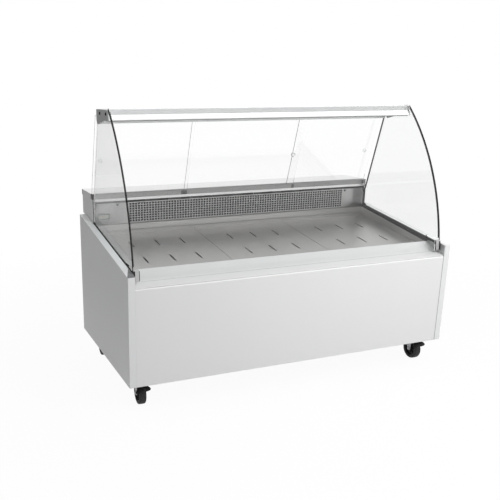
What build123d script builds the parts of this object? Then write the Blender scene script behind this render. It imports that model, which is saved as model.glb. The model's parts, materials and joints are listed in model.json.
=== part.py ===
from build123d import *
import math
import os

# Refrigerated fish display case on castors: curved front glass, tilted rear panes, steel well.
# Millimetres, +Z up, the customer's side faces -Y. While a piece is built, y counts back from the face
# of the front panel and z up from the floor. save() then moves it, so that the origin lies on the floor
# under the middle of the case.

# Overall sizes
width = 2000.0
depth = 1052.0
height = 1535.0
sheet = 1.5
fit = 0.3
running_fit = 0.05

# End panels, the two white cheeks that carry everything
panel_thickness = 38.0
panel_front_top = 742.0
panel_rear_top = 892.0
panel_edge = 2.5
panel_skirt = 5.0

# Front panel
front_panel_gap = 1.0
front_panel_return = 25.0
front_panel_nose = 8.0

# Steel well and its insulation
well_front = 152.0
well_side_gap = 18.0
well_rear_gap = 5.0
well_front_drop = 4.0
well_rear_drop = 46.0
well_depth = 138.0
well_fall = 40.0
well_corner = 14.0
rim_flange = 45.0
insulation = 55.0
drain_inset = 63.0
drain_bore = 40.0
drain_drop = 60.0

# Front rail, a shallow steel sill in front of the glass
rail_set_back = 6.0
rail_slope_run = 46.0
rail_slope_drop = 33.0
rail_lip_drop = 55.0
rail_under_drop = 59.0
rail_leg_y = 32.0
rail_leg = 32.0
rail_bends = [110.0, 1.8, 1.8, 0]
rail_hem = 16.0
cap_corner = 8.0

# Glass
glass = 8.0
glass_side_gap = 4.0
glass_foot_y = 40.0
glass_foot_drop = 12.0
glass_top_gap = 9.0
glass_bow = 82.0
glass_joint = 2.0
side_rear_gap = 12.0
side_knee_drop = 50.0
side_top_gap = 7.0
side_top_drop = 9.0
channel_groove = 13.0
channel_play = 0.4

# Glass hinge
hinge_set_back = 5.0
hinge_drop = 22.0
hinge_pin = 5.0
hinge_knuckle = 10.0
clamp_width = 29.0
clamp_rise = 52.0
clamp_foot_rise = 12.0
clamp_cheek = 6.0
clamp_back = 14.0
clamp_corner = 3.0
clamp_gap = 1.0
notch_rise = 30.0

# Canopy, its brackets and lamp
canopy_drop = 9.0
canopy_width = 207.0
canopy_wall = 3.0
canopy_height = 26.0
canopy_lip = 80.0
canopy_edge = 2.5
bracket_thickness = 5.0
bracket_corner = 5.0
bracket_rear_rise = 20.0
lamp_end_gap = 1.0
lamp_depth = 74.0
lamp_drop = 28.0
lamp_reach = 21.0
lamp_ease = 5.0

# Rear panes and their tracks, all on a plane that leans towards the customer
door_tilt = 16.5
door_foot_drop = 6.0
door_foot_inset = 18.0
door_sink = 6.0
pane = 5.0
pane_gap = 4.0
slot_play = 0.7
slot_wall = 2.5
slot_end_gap = 1.0
side_pane_width = 606.0
pane_overlap = 34.5
middle_pane_shift = 11.5
knob_below_middle = 33.0
knob_inset = 50.0
knob_radius = 14.0
knob_height = 11.0
sill_depth = 38.0
sill_height = 31.0
sill_lip = 6.0
sill_lip_drop = 13.0
sill_ease = 3.0
head_drop = 25.3
head_grip = 18.0
head_roof = 8.0
head_shelf = 4.0
head_gap = 28.0
head_flange = 3.0

# Rear duct, worktop and perforated panel
worktop_z = 1034.0
worktop_depth = 214.0
worktop_overhang = 86.0
worktop_side_gap = 2.0
worktop_fold = 34.0
worktop_lip = 7.0
worktop_edge = 3.0
duct_set_back = 10.0
duct_side_gap = 3.0
air_panel_drop = 56.0
air_blank = (202.0, 164.0)
air_columns = 22
air_rows = 3
air_hole = (46.0, 20.0)
air_margin = 12.0

# Thermometer window on the perforated panel
thermometer_inset = 53.0
thermometer_rise = 53.0
thermometer_size = (74.0, 6.0, 38.0)
thermometer_frame = 5.0

# Deck trays that lie in the well
deck_count = 3
deck_gap = 3.0
deck_end_gap = 8.0
deck_front_drop = 30.0
deck_rear_drop = 58.0
deck_upstand = 22.0
deck_bend = 4.0
deck_slots = 3
deck_slot_inset = 190.0
deck_slot_length = 90.0
deck_slot_width = 10.0
bearer = 16.0

# Base frame
tube = 50.0
tube_height = 40.0
tube_wall = 2.5
post = 40.0
tray_lip = 22.0

# Castors
castor_inset = 97.0
castor_front_y = 154.0
castor_rear_gap = 73.0
castor_plate = (100.0, 86.0, 3.0)
king_pin = 6.0
wheel_radius = 62.5
wheel_width = 40.0
wheel_clear = 7.7
axle = 6.0
trail = 38.0
fork_wall = 3.0
fork_gap = 0.7
fork_head = 14.0
fork_bridge = 5.0
fork_rear = 25.0
pedal_pin = 3.0
pedal_reach = 14.0
pedal_length = 60.0
pedal_drop = 18.0
pedal_half = 33.0

# Condensing unit under the well
unit_inset = 190.0
condenser_size = (320.0, 54.0, 262.0)
condenser_rear_gap = 6.0
condenser_slots = 9
condenser_slit = (18.0, 23.0)
condenser_rim = 12.0
shroud_depth = 16.0
shroud_wall = 3.0
throat_gap = 4.0
fan_radius = 108.0
fan_shaft = 5.0
fan_hub = 22.0
fan_blades = 5
blade_chord = 48.0
blade_pitch = 28.0
blade_thickness = 2.5
motor_radius = 36.0
motor_length = 38.0
motor_stand_off = 26.0
motor_arm = 10.0
compressor_offset = (290.0, 333.0)
compressor_radius = 82.0
compressor_height = 190.0
compressor_shoulder = 140.0
compressor_lid_taper = 40.0
compressor_foot = 12.0
compressor_base = (197.0, 164.0)
terminal_cover = (60.0, 36.0, 60.0)
line_radius = 6.0
suction_radius = 8.0
line_bend = 30.0
line_hole_play = 0.5
liquid_riser_offset = 10.0
suction_riser_offset = -60.0
suction_drop = 140.0
suction_clear = 40.0

# Evaporator in the rear duct
evaporator_end_gap = (184.0, 224.0)
evaporator_slots = 10
evaporator_web = 14.0
evaporator_core = 15.0
evaporator_plate = 3.0
evaporator_clear = 14.0
evaporator_rear_gap = 50.0

# Rear grille and controls
grille_size = (370.0, 270.0)
grille_lap = 12.0
grille_slots = 8
control_inset = 304.0
control_size = (230.0, 8.0, 72.0)
control_drop = 79.0
display_offset = -40.0
display_size = (78.0, 3.0, 34.0)
rocker_offset = 80.0
rocker_size = (22.0, 6.0, 14.0)
rocker_pin = 1.5
rocker_pin_length = 4.0
rocker_sink = 2.5

# Screws of the canopy brackets and of the perforated panel
screw_radius = 6.0
screw_height = 2.5
bracket_screw_inset = (72.0, 190.0)
bracket_screw_drop = 20.0
air_screw_inset = (141.0, 150.0)
air_screw_drop = 12.0

# Positions across the case, from its middle
inner_half = width / 2 - panel_thickness
body_half = inner_half - fit
rail_half = body_half - sheet
well_half = inner_half - well_side_gap
glass_half = inner_half - glass_side_gap
duct_half = inner_half - duct_side_gap
worktop_half = inner_half - worktop_side_gap
hinge_outer = glass_half - clamp_gap
hinge_inner = hinge_outer - clamp_width
castor_x = width / 2 - castor_inset
unit_x = castor_x - unit_inset
compressor_x = unit_x - compressor_offset[0]
liquid_riser_x = castor_x + liquid_riser_offset
suction_riser_x = castor_x + suction_riser_offset
evaporator_left = -well_half + evaporator_end_gap[0]
evaporator_right = well_half - evaporator_end_gap[1]
control_x = -well_half + control_inset
display_x = control_x + display_offset
rocker_x = control_x + rocker_offset

# Positions from front to back
origin_shift = -depth / 2
worktop_rear = depth
panel_depth = worktop_rear - worktop_overhang
duct_rear = worktop_rear - duct_set_back
sill_rear = worktop_rear - worktop_depth
sill_front = sill_rear - sill_depth
door_foot_y = sill_front + door_foot_inset
well_rear = sill_front - well_rear_gap
drain_y = well_front + drain_inset
rail_slope_foot = well_front - rail_slope_run
hinge_y = glass_foot_y + hinge_set_back
side_rear_y = well_rear - side_rear_gap
deck_front_y = well_front + deck_end_gap
deck_rear_y = well_rear - deck_end_gap
castor_rear_y = panel_depth - castor_rear_gap
condenser_y = castor_rear_y + tube / 2 - condenser_rear_gap - condenser_size[1]
compressor_y = castor_rear_y - compressor_offset[1]

# Heights of the castors and the frame on them
bridge_low = 2 * wheel_radius + wheel_clear
bridge_top = bridge_low + fork_bridge
head_top = bridge_top + fork_head
frame_foot = head_top + fit + castor_plate[2]
ride_height = frame_foot - panel_skirt
frame_top = frame_foot + tube_height
tray_top = frame_top + sheet
unit_z = tray_top + condenser_size[2] / 2

# Heights of the well and of what hangs on its rim
well_rim_front = panel_front_top - well_front_drop
well_rim_rear = panel_rear_top - well_rear_drop
well_floor_front = well_rim_front - well_depth
well_floor_rear = well_floor_front + well_fall
insulation_foot = well_floor_front - insulation
rail_slope_foot_z = well_rim_front - rail_slope_drop
rail_lip_z = well_rim_front - rail_lip_drop
rail_under_z = well_rim_front - rail_under_drop
rail_leg_z = rail_under_z - rail_leg
front_panel_top = rail_under_z - front_panel_gap
hinge_z = well_rim_front - hinge_drop
glass_foot_z = hinge_z - glass_foot_drop
glass_notch = hinge_z + notch_rise
clamp_foot = hinge_z + clamp_foot_rise
clamp_top = hinge_z + clamp_rise
deck_front_z = well_rim_front - deck_front_drop
deck_rear_z = well_rim_rear - deck_rear_drop
thermometer_z = well_rim_rear + thermometer_rise

# Heights of the worktop and of what hangs on it
duct_floor_rear = panel_rear_top
sill_foot_z = worktop_z - sill_height
sill_lip_z = sill_foot_z - sill_lip_drop
door_foot_z = worktop_z - door_foot_drop
side_knee_z = worktop_z - side_knee_drop
air_panel_top = worktop_z - air_panel_drop
air_screw_z = air_panel_top - air_screw_drop
control_z = worktop_z - control_drop

# Heights of the canopy
glass_top_z = height
canopy_top = height - canopy_drop
side_top_z = canopy_top - side_top_drop
canopy_web_z = canopy_top - canopy_height
canopy_lip_z = canopy_top - canopy_lip
bracket_screw_z = canopy_top - bracket_screw_drop

# Slopes and angles
rail_slope = (well_rim_front - rail_slope_foot_z) / (well_front - rail_slope_foot)
rail_sheet_drop = sheet * math.sqrt(1 + rail_slope * rail_slope)
tilt = math.radians(door_tilt)
deck_angle = math.atan2(deck_rear_z - deck_front_z, deck_rear_y - deck_front_y)

# The canopy hangs in front of the panes' upper track, and the front glass ends at it
track_half = pane + pane_gap / 2 + slot_play + slot_wall
head_rise = canopy_top - head_drop - door_foot_z - track_half * math.sin(tilt)
door_rise = head_rise / math.cos(tilt) - head_roof
knob_rise = door_rise / 2 - knob_below_middle
track_front = door_foot_y - track_half * math.cos(tilt) - (door_rise + head_roof) * math.sin(tilt)
canopy_rear = track_front - head_gap
canopy_front = canopy_rear - canopy_width
side_top_y = canopy_rear - side_top_gap
glass_top_y = canopy_front - glass_top_gap

# Circle of the front glass: outer face through foot and top, bowed out by glass_bow
chord = math.hypot(glass_top_y - glass_foot_y, glass_top_z - glass_foot_z)
glass_radius = (chord * chord / 4 + glass_bow * glass_bow) / (2 * glass_bow)
chord_lean = math.atan2(glass_top_y - glass_foot_y, glass_top_z - glass_foot_z)
centre_set_back = glass_radius - glass_bow
glass_centre_y = (glass_foot_y + glass_top_y) / 2 + centre_set_back * math.cos(chord_lean)
glass_centre_z = (glass_foot_z + glass_top_z) / 2 - centre_set_back * math.sin(chord_lean)


def top_line(y):
    """Height of the end panels' sloping top edge."""
    return panel_front_top + (panel_rear_top - panel_front_top) * y / panel_depth


def rim_line(y):
    """Height of the well's rim along its sides."""
    share = (y - well_front) / (well_rear - well_front)
    return well_rim_front + (well_rim_rear - well_rim_front) * share


def rail_under(y):
    """Height of the rail's underside on its rear slope."""
    return well_rim_front + (y - well_front) * rail_slope


def floor_line(y):
    """Height of the well's inner floor."""
    share = (y - well_front) / (well_rear - well_front)
    return well_floor_front + (well_floor_rear - well_floor_front) * share


def glass_y(radius, z):
    """Depth of a circle about the glass centre, on its front half, at height z."""
    return glass_centre_y - math.sqrt(radius * radius - (z - glass_centre_z) ** 2)


def glass_point(radius, z):
    return (glass_y(radius, z), z)


def door_point(across, along):
    """Point (y, z) in the panes' leaning frame: across the panes to the rear, along them upwards."""
    y = door_foot_y + across * math.cos(tilt) - along * math.sin(tilt)
    z = door_foot_z + across * math.sin(tilt) + along * math.cos(tilt)
    return (y, z)


def prism(face, low_x, high_x):
    """Push a (y, z) outline along X from low_x to high_x."""
    return extrude(Plane.YZ.offset(low_x) * face, amount=high_x - low_x)


def outline(*points):
    return make_face(Polyline(*points, close=True))


def block(low, high):
    """Box between two opposite corners."""
    size = [b - a for a, b in zip(low, high)]
    middle = [(a + b) / 2 for a, b in zip(low, high)]
    return Pos(*middle) * Box(*size)


def bar(radius, start, direction, length):
    """Round bar from a start point along a direction."""
    return extrude(Plane(start, z_dir=direction) * Circle(radius), amount=length)


def facet_bar(radius, sides, start, direction, length):
    """Bar with a many-sided section, for pieces that are hidden or small."""
    return extrude(Plane(start, z_dir=direction) * RegularPolygon(radius, sides), amount=length)


def sheet_profile(points, radii, side, half):
    """Folded sheet: a bent path thickened to one side, as long as the case is wide."""
    path = FilletPolyline(*points, radius=radii)
    return prism(make_face(path.offset_2d(sheet, side=side)), -half, half)


def mirrored(solid):
    """The same piece on the other side of the case."""
    return mirror(solid, about=Plane.YZ)


def save(node, *solids):
    moved = [Pos(0, origin_shift, 0) * solid for solid in solids]
    model = moved[0] if len(moved) == 1 else Compound(children=moved)
    export_step(model, os.path.join("parts", node + ".step"))


def end_panel():
    """Foamed end panel: a sloping slab with eased edges on its outer face."""
    side = outline(
        (0, ride_height),
        (panel_depth, ride_height),
        (panel_depth, panel_rear_top),
        (0, panel_front_top),
    )
    slab = prism(side, inner_half, width / 2)
    outer_rim = slab.faces().sort_by(Axis.X)[-1].edges()
    return fillet(outer_rim, panel_edge)


def front_panel():
    """White front sheet with a round top edge and folded returns."""
    path = [
        (front_panel_return, front_panel_top - front_panel_nose),
        (front_panel_return, front_panel_top),
        (0, front_panel_top),
        (0, ride_height),
        (front_panel_return, ride_height),
        (front_panel_return, ride_height + front_panel_return),
    ]
    return sheet_profile(path, [0, front_panel_nose, 0, 0], Side.LEFT, body_half)


def rear_panel():
    """Sheet that closes the staff side, with the opening of the condensing unit."""
    top = duct_floor(panel_depth - front_panel_return) - fit
    path = [
        (panel_depth - front_panel_return, top),
        (panel_depth, top),
        (panel_depth, ride_height),
        (panel_depth - front_panel_return, ride_height),
    ]
    panel = sheet_profile(path, 0, Side.RIGHT, body_half)
    low_x, high_x, low_z, high_z = grille_opening()
    return panel - block((low_x, panel_depth - 2 * sheet, low_z), (high_x, panel_depth + sheet, high_z))


def grille_opening():
    """Edges of the rear panel's opening, in front of the condenser."""
    half_x = grille_size[0] / 2 - grille_lap
    half_z = grille_size[1] / 2 - grille_lap
    return (unit_x - half_x, unit_x + half_x, unit_z - half_z, unit_z + half_z)


def rear_grille():
    """Louvred plate over the opening: each slot has a hood that sheds water."""
    plate = Pos(unit_x, panel_depth + sheet / 2, unit_z) * Box(grille_size[0], sheet, grille_size[1])
    clear = grille_size[1] - 4 * grille_lap
    pitch = clear / (grille_slots - 1)
    slot_half = grille_size[0] / 2 - 2 * grille_lap
    face_y = panel_depth + sheet
    for row in range(grille_slots):
        z = unit_z - clear / 2 + row * pitch
        hood = outline(
            (face_y, z + pitch / 2),
            (face_y + pitch / 2, z - pitch / 4),
            (face_y + pitch / 2 - sheet, z - pitch / 4),
            (face_y, z + pitch / 2 - 2 * sheet),
        )
        slot = block(
            (unit_x - slot_half, panel_depth - sheet, z - pitch / 4),
            (unit_x + slot_half, face_y + sheet, z + pitch / 4),
        )
        plate = plate - slot + prism(hood, unit_x - slot_half - sheet, unit_x + slot_half + sheet)
    return plate


def well_section(grow):
    """Side outline of the well's inside, grown outwards by a wall."""
    front_y = well_front - grow
    rear_y = well_rear + grow
    face = outline(
        (front_y, rim_line(front_y)),
        (front_y, floor_line(front_y) - grow),
        (rear_y, floor_line(rear_y) - grow),
        (rear_y, rim_line(rear_y)),
    )
    lowest = face.vertices().sort_by(Axis.Y)[:2]
    return fillet(lowest, well_corner + grow)


def bearer_bar(y):
    """Square bar across the well with its top in the plane of the deck's underside."""
    under = deck_front_z - sheet / math.cos(deck_angle) + (y - deck_front_y) * math.tan(deck_angle)
    turned = Pos(0, y, under) * Rot(math.degrees(deck_angle), 0, 0) * Pos(0, 0, -bearer / 2)
    return turned * Box(2 * well_half + 1, bearer, bearer)


def well_tub():
    """Welded steel tub: walls, sloping floor, rim flanges, drain hole and the bars that carry the deck."""
    outer = prism(well_section(sheet), -well_half - sheet, well_half + sheet)
    tub = outer - prism(well_section(0), -well_half, well_half)
    front_flange = outline(
        (well_front, rail_under(well_front)),
        (well_front - rim_flange, rail_under(well_front - rim_flange)),
        (well_front - rim_flange, rail_under(well_front - rim_flange) - sheet),
        (well_front, rail_under(well_front) - sheet),
    )
    rear_flange = outline(
        (well_rear, well_rim_rear),
        (well_rear + rim_flange, well_rim_rear),
        (well_rear + rim_flange, well_rim_rear - sheet),
        (well_rear, well_rim_rear - sheet),
    )
    side_flange = outline(
        (well_front, well_rim_front),
        (well_rear, well_rim_rear),
        (well_rear, well_rim_rear - sheet),
        (well_front, well_rim_front - sheet),
    )
    tub = tub + prism(front_flange, -body_half, body_half) + prism(rear_flange, -body_half, body_half)
    right = prism(side_flange, well_half, body_half)
    tub = tub + right + mirrored(right)
    tub = tub + bearer_bar(well_front + 3 * bearer) + bearer_bar(well_rear - 3 * bearer)
    above_front = outline(
        (0, rail_under(0)),
        (well_front, rail_under(well_front)),
        (well_front, canopy_top),
        (0, canopy_top),
    )
    above_rear = outline(
        (well_rear, well_rim_rear),
        (panel_depth, well_rim_rear),
        (panel_depth, canopy_top),
        (well_rear, canopy_top),
    )
    above_rim = prism(above_front, -width, width) + prism(above_rear, -width, width)
    drain = facet_bar(drain_bore / 2, 12, (0, drain_y, insulation_foot), (0, 0, 1), insulation * 2)
    return tub - above_rim - drain


def well_insulation():
    """Foam boards round the tub: one under its floor, one in front, one behind and one at each end."""
    low_front = well_front - rim_flange
    high_rear = well_rear + rim_flange
    tub_front = well_front - sheet
    tub_rear = well_rear + sheet
    under_floor = outline(
        (low_front, insulation_foot),
        (high_rear, insulation_foot),
        (high_rear, floor_line(high_rear) - sheet),
        (low_front, floor_line(low_front) - sheet),
    )
    front = outline(
        (low_front, floor_line(low_front) - sheet),
        (tub_front, floor_line(tub_front) - sheet),
        (tub_front, rail_under(tub_front) - sheet),
        (low_front, rail_under(low_front) - sheet),
    )
    rear = outline(
        (tub_rear, floor_line(tub_rear) - sheet),
        (high_rear, floor_line(high_rear) - sheet),
        (high_rear, well_rim_rear - sheet),
        (tub_rear, well_rim_rear - sheet),
    )
    end = outline(
        (well_front, floor_line(well_front) - sheet),
        (well_rear, floor_line(well_rear) - sheet),
        (well_rear, well_rim_rear - sheet),
        (well_front, well_rim_front - sheet),
    )
    drain = facet_bar(drain_bore / 2, 12, (0, drain_y, insulation_foot - 1), (0, 0, 1), insulation * 2)
    floor_board = prism(under_floor, -body_half, body_half) - drain
    end_board = prism(end, well_half + sheet, body_half)
    boards = [prism(face, -body_half, body_half) for face in (front, rear)]
    return [floor_board, *boards, end_board, mirrored(end_board)]


def front_rail():
    """Sill folded from one sheet: rear slope, hollow, low lip and leg, with a hem down into the well."""
    rear_z = well_rim_front + rail_sheet_drop
    path = [
        (well_front, rear_z),
        (rail_slope_foot, rail_slope_foot_z + rail_sheet_drop),
        (rail_set_back, rail_lip_z),
        (rail_set_back, rail_under_z),
        (rail_leg_y, rail_under_z),
        (rail_leg_y, rail_leg_z),
    ]
    rail = sheet_profile(path, rail_bends, Side.LEFT, rail_half)
    hem = block(
        (-well_half + fit, well_front, rear_z - rail_hem),
        (well_half - fit, well_front + sheet, rear_z),
    )
    return rail + hem


def rail_cap():
    """Plate that closes the rail's end and carries the glass hinge pin."""
    rear_y = well_front - rim_flange - fit
    plate = outline(
        (rail_set_back, rail_under_z),
        (rail_set_back, top_line(rail_set_back)),
        (well_front, top_line(well_front)),
        (well_front, rail_under(well_front)),
        (rear_y, rail_under(rear_y)),
        (rear_y, rail_under_z),
    )
    front_corners = plate.vertices().sort_by(Axis.X)[:2]
    plate = fillet(front_corners, cap_corner)
    pin_length = body_half - hinge_inner - clamp_gap
    pin = facet_bar(hinge_pin, 16, (body_half, hinge_y, hinge_z), (-1, 0, 0), pin_length)
    return prism(plate, body_half - sheet, body_half) + pin


def side_channel():
    """Dark channel on the well's rim that the side glass stands in."""
    start = well_front + sheet + fit
    body = outline(
        (start, rim_line(start)),
        (start, top_line(start)),
        (well_rear, top_line(well_rear)),
        (well_rear, rim_line(well_rear)),
    )
    end_wall = start + 2 * sheet
    groove = outline(
        (end_wall, top_line(end_wall) - channel_groove),
        (end_wall, canopy_top),
        (well_rear + 1, canopy_top),
        (well_rear + 1, top_line(well_rear + 1) - channel_groove),
    )
    cut = prism(groove, glass_half - glass - channel_play, glass_half + channel_play)
    return prism(body, well_half, body_half) - cut


def side_glass():
    """Flat end glass: curved behind the front glass, notched for the hinge, leaning at the rear."""
    seat = channel_groove - channel_play
    front_y = well_front + 5 * sheet
    notch_z = clamp_top + hinge_knuckle
    inner = glass_radius - glass - glass_joint
    face = make_face(
        [
            Line((front_y, top_line(front_y) - seat), (front_y, notch_z)),
            Line((front_y, notch_z), glass_point(inner, notch_z)),
            ThreePointArc(
                glass_point(inner, notch_z),
                glass_point(inner, (notch_z + side_top_z) / 2),
                glass_point(inner, side_top_z),
            ),
            Line(glass_point(inner, side_top_z), (side_top_y, side_top_z)),
            Line((side_top_y, side_top_z), (side_rear_y, side_knee_z)),
            Line((side_rear_y, side_knee_z), (side_rear_y, top_line(side_rear_y) - seat)),
            Line((side_rear_y, top_line(side_rear_y) - seat), (front_y, top_line(front_y) - seat)),
        ]
    )
    return prism(face, glass_half - glass, glass_half)


def front_glass():
    """Bent front glass, one circular sweep, with a notch at each lower corner for its hinge."""
    inner = glass_radius - glass
    middle_z = (glass_foot_z + glass_top_z) / 2
    outer_arc = ThreePointArc(
        glass_point(glass_radius, glass_foot_z),
        glass_point(glass_radius, middle_z),
        glass_point(glass_radius, glass_top_z),
    )
    top_inner = (outer_arc @ 1) + glass_inward(outer_arc @ 1)
    foot_inner = (outer_arc @ 0) + glass_inward(outer_arc @ 0)
    inner_arc = ThreePointArc(top_inner, glass_point(inner, middle_z), foot_inner)
    ends = [Line(outer_arc @ 1, top_inner), Line(foot_inner, outer_arc @ 0)]
    face = make_face([outer_arc, ends[0], inner_arc, ends[1]])
    bent = prism(face, -glass_half, glass_half)
    notch = block((hinge_inner - 2 * clamp_gap, 0, 0), (width, panel_depth, glass_notch))
    return bent - notch - mirrored(notch)


def glass_inward(point):
    """One glass thickness from the outer face towards the circle's centre."""
    to_centre = Vector(glass_centre_y, glass_centre_z) - point
    return to_centre.normalized() * glass


def glass_clamp():
    """Hinge clamp: a knuckle on the pin and two cheeks that grip the glass above it."""
    outer_y = glass_y(glass_radius, clamp_top)
    cheeks = outline(
        (hinge_y - hinge_knuckle * 0.9, hinge_z - hinge_knuckle * 0.5),
        (hinge_y - hinge_knuckle, hinge_z),
        (glass_y(glass_radius, glass_notch) - clamp_cheek, glass_notch),
        (outer_y - clamp_cheek, clamp_top - clamp_corner),
        (outer_y - clamp_cheek + clamp_corner, clamp_top),
        (outer_y + clamp_back - clamp_corner, clamp_top),
        (outer_y + clamp_back, clamp_top - clamp_corner),
        (hinge_y + clamp_back, clamp_foot),
        (hinge_y + hinge_knuckle, hinge_z - hinge_knuckle * 0.5),
        (hinge_y + hinge_knuckle * 0.5, hinge_z - hinge_knuckle),
        (hinge_y - hinge_knuckle * 0.5, hinge_z - hinge_knuckle),
    )
    body = prism(cheeks, hinge_inner, hinge_outer)
    bore = bar(hinge_pin + running_fit, (0, hinge_y, hinge_z), (1, 0, 0), width)
    return body - bore - front_glass()


def canopy():
    """Hollow extrusion over the glass, with a rear lip that hides the panes' upper track."""
    shell = outline(
        (canopy_rear, canopy_lip_z),
        (canopy_rear, canopy_top),
        (canopy_front, canopy_top),
        (canopy_front - canopy_wall, canopy_web_z),
        (canopy_rear - canopy_wall, canopy_web_z),
        (canopy_rear - canopy_wall, canopy_lip_z),
    )
    hollow = outline(
        (canopy_rear - canopy_wall, canopy_top - canopy_wall),
        (canopy_front + canopy_wall, canopy_top - canopy_wall),
        (canopy_front + canopy_wall, canopy_web_z + canopy_wall),
        (canopy_rear - canopy_wall, canopy_web_z + canopy_wall),
    )
    half = glass_half - glass - fit
    hood = prism(shell, -half, half)
    front_edge = hood.edges().filter_by(Axis.X).sort_by(Axis.Z)[-2:]
    return fillet(front_edge, canopy_edge) - prism(hollow, -width, width)


def canopy_bracket():
    """Plate outside the side glass that carries the canopy's end."""
    plate = outline(
        (canopy_rear, canopy_top),
        (canopy_front, canopy_top),
        (canopy_front - lamp_reach, canopy_web_z - lamp_drop),
        (canopy_front + lamp_depth, canopy_web_z - lamp_drop),
        (side_top_y - bracket_rear_rise / 2, canopy_lip_z),
        (canopy_rear, canopy_lip_z + bracket_rear_rise),
    )
    upper_corners = plate.vertices().sort_by(Axis.Y)[-2:]
    plate = fillet(upper_corners, bracket_corner)
    return prism(plate, glass_half + fit, glass_half + fit + bracket_thickness)


def lamp():
    """Lamp cover under the canopy's front edge, closed at both ends."""
    low_z = canopy_web_z - lamp_drop
    front_y = canopy_front - canopy_wall
    face = outline(
        (front_y, canopy_web_z),
        (front_y - lamp_reach, low_z + lamp_ease),
        (front_y - lamp_reach + lamp_ease, low_z),
        (front_y + lamp_depth - lamp_drop / 2, low_z),
        (front_y + lamp_depth, canopy_web_z),
    )
    half = glass_half - glass - lamp_end_gap
    return prism(face, -half, half)


def screw_head(position, direction):
    """Low screw head that bears on the plate under it."""
    return facet_bar(screw_radius, 10, position, direction, screw_height)


def screws():
    """Screw heads of the canopy brackets and of the perforated panel."""
    seat_x = glass_half + fit + bracket_thickness
    made = []
    for inset in bracket_screw_inset:
        made.append(screw_head((seat_x, canopy_rear - inset, bracket_screw_z), (1, 0, 0)))
        made.append(screw_head((-seat_x, canopy_rear - inset, bracket_screw_z), (-1, 0, 0)))
    for x in (-well_half + air_screw_inset[0], well_half - air_screw_inset[1]):
        made.append(screw_head((x, well_rear, air_screw_z), (0, -1, 0)))
    return made


def pane_track(face, depth_along, opening, half):
    """Cut the two running slots of the panes into a track's section."""
    for side in (-1, 1):
        middle = side * (pane + pane_gap) / 2
        slot_half = pane / 2 + slot_play
        face -= outline(
            door_point(middle - slot_half, depth_along),
            door_point(middle + slot_half, depth_along),
            door_point(middle + slot_half, opening),
            door_point(middle - slot_half, opening),
        )
    return prism(face, -half, half)


def door_sill_track():
    """Lower track: the worktop's front edge, with two leaning slots and a lip underneath."""
    face = outline(
        (sill_front, sill_foot_z),
        (sill_front - sill_lip, sill_lip_z),
        (sill_front - sill_lip + sheet, sill_lip_z),
        (sill_front + sheet, sill_foot_z),
        (sill_rear, sill_foot_z),
        (sill_rear, worktop_z),
        (sill_front + sill_ease, worktop_z),
        (sill_front, worktop_z - sill_ease),
    )
    return pane_track(face, -door_sink - slot_end_gap, sill_depth, worktop_half)


def door_head_track():
    """Upper track behind the canopy: a flange on its rear wall, a shelf and the slotted rail below."""
    roof = door_rise + head_roof
    shelf_z = door_point(track_half, roof)[1]
    face = outline(
        door_point(-track_half, door_rise - head_grip),
        door_point(track_half, door_rise - head_grip),
        door_point(track_half, roof),
        (canopy_rear, shelf_z),
        (canopy_rear, shelf_z - head_shelf),
        door_point(-track_half, roof - 2 * head_shelf),
    )
    flange = outline(
        (canopy_rear, shelf_z - head_shelf),
        (canopy_rear + head_flange, shelf_z - head_shelf),
        (canopy_rear + head_flange, canopy_top - 2 * head_flange),
        (canopy_rear, canopy_top - 2 * head_flange),
    )
    return pane_track(face + flange, door_rise + slot_end_gap, door_rise - 2 * head_grip, glass_half)


def rear_pane(low_x, high_x, layer):
    """One sliding pane, in the front layer (-1) or the rear layer (1) of the tracks."""
    middle = layer * (pane + pane_gap) / 2
    face = outline(
        door_point(middle - pane / 2, -door_sink),
        door_point(middle + pane / 2, -door_sink),
        door_point(middle + pane / 2, door_rise),
        door_point(middle - pane / 2, door_rise),
    )
    return prism(face, low_x, high_x)


def pane_knob(x, layer):
    """Finger knob on the open side of a pane."""
    face = layer * (pane + pane_gap / 2)
    y, z = door_point(face, knob_rise)
    axis = (0, layer * math.cos(tilt), layer * math.sin(tilt))
    return facet_bar(knob_radius, 24, (x, y, z), axis, knob_height)


def worktop():
    """Steel worktop folded down at the front behind the sill and at the rear."""
    path = [
        (sill_rear, sill_foot_z + worktop_lip),
        (sill_rear, worktop_z),
        (worktop_rear, worktop_z),
        (worktop_rear, worktop_z - worktop_fold),
        (worktop_rear - worktop_lip, worktop_z - worktop_fold),
    ]
    return sheet_profile(path, [0, worktop_edge, 0], Side.RIGHT, worktop_half)


def duct_floor(y):
    """Height of the duct's floor, which drains forward into the well."""
    start = well_rear + rim_flange
    share = max(0.0, (y - start) / (duct_rear - start))
    return well_rim_rear + (duct_floor_rear - well_rim_rear) * share


def rear_duct():
    """Air duct behind the perforated panel: folded floor and back, closed by an end plate each side."""
    start = well_rear + sheet + fit
    path = [
        (start, well_rim_rear),
        (well_rear + rim_flange, well_rim_rear),
        (duct_rear, duct_floor_rear),
        (duct_rear, worktop_z - sheet),
    ]
    casing = sheet_profile(path, 0, Side.LEFT, duct_half)
    front_y = sill_front + 2 * sheet
    plate_face = outline(
        (front_y, well_rim_rear),
        (well_rear + rim_flange, well_rim_rear),
        (duct_rear, duct_floor_rear),
        (duct_rear, worktop_z - sheet),
        (sill_rear + 2 * sheet, worktop_z - sheet),
        (sill_rear + 2 * sheet, sill_foot_z),
        (front_y, sill_foot_z),
    )
    plate = prism(plate_face, duct_half - sheet, duct_half)
    casing = casing + plate + mirrored(plate)
    liquid_y, suction_y = riser_depths()
    risers = [
        (liquid_riser_x, liquid_y, line_radius),
        (suction_riser_x, suction_y, suction_radius),
    ]
    floor_rise = duct_floor_rear - well_rim_rear
    for x, y, radius in risers:
        casing -= facet_bar(radius + line_hole_play, 8, (x, y, well_rim_rear), (0, 0, 1), floor_rise)
    return casing


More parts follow.
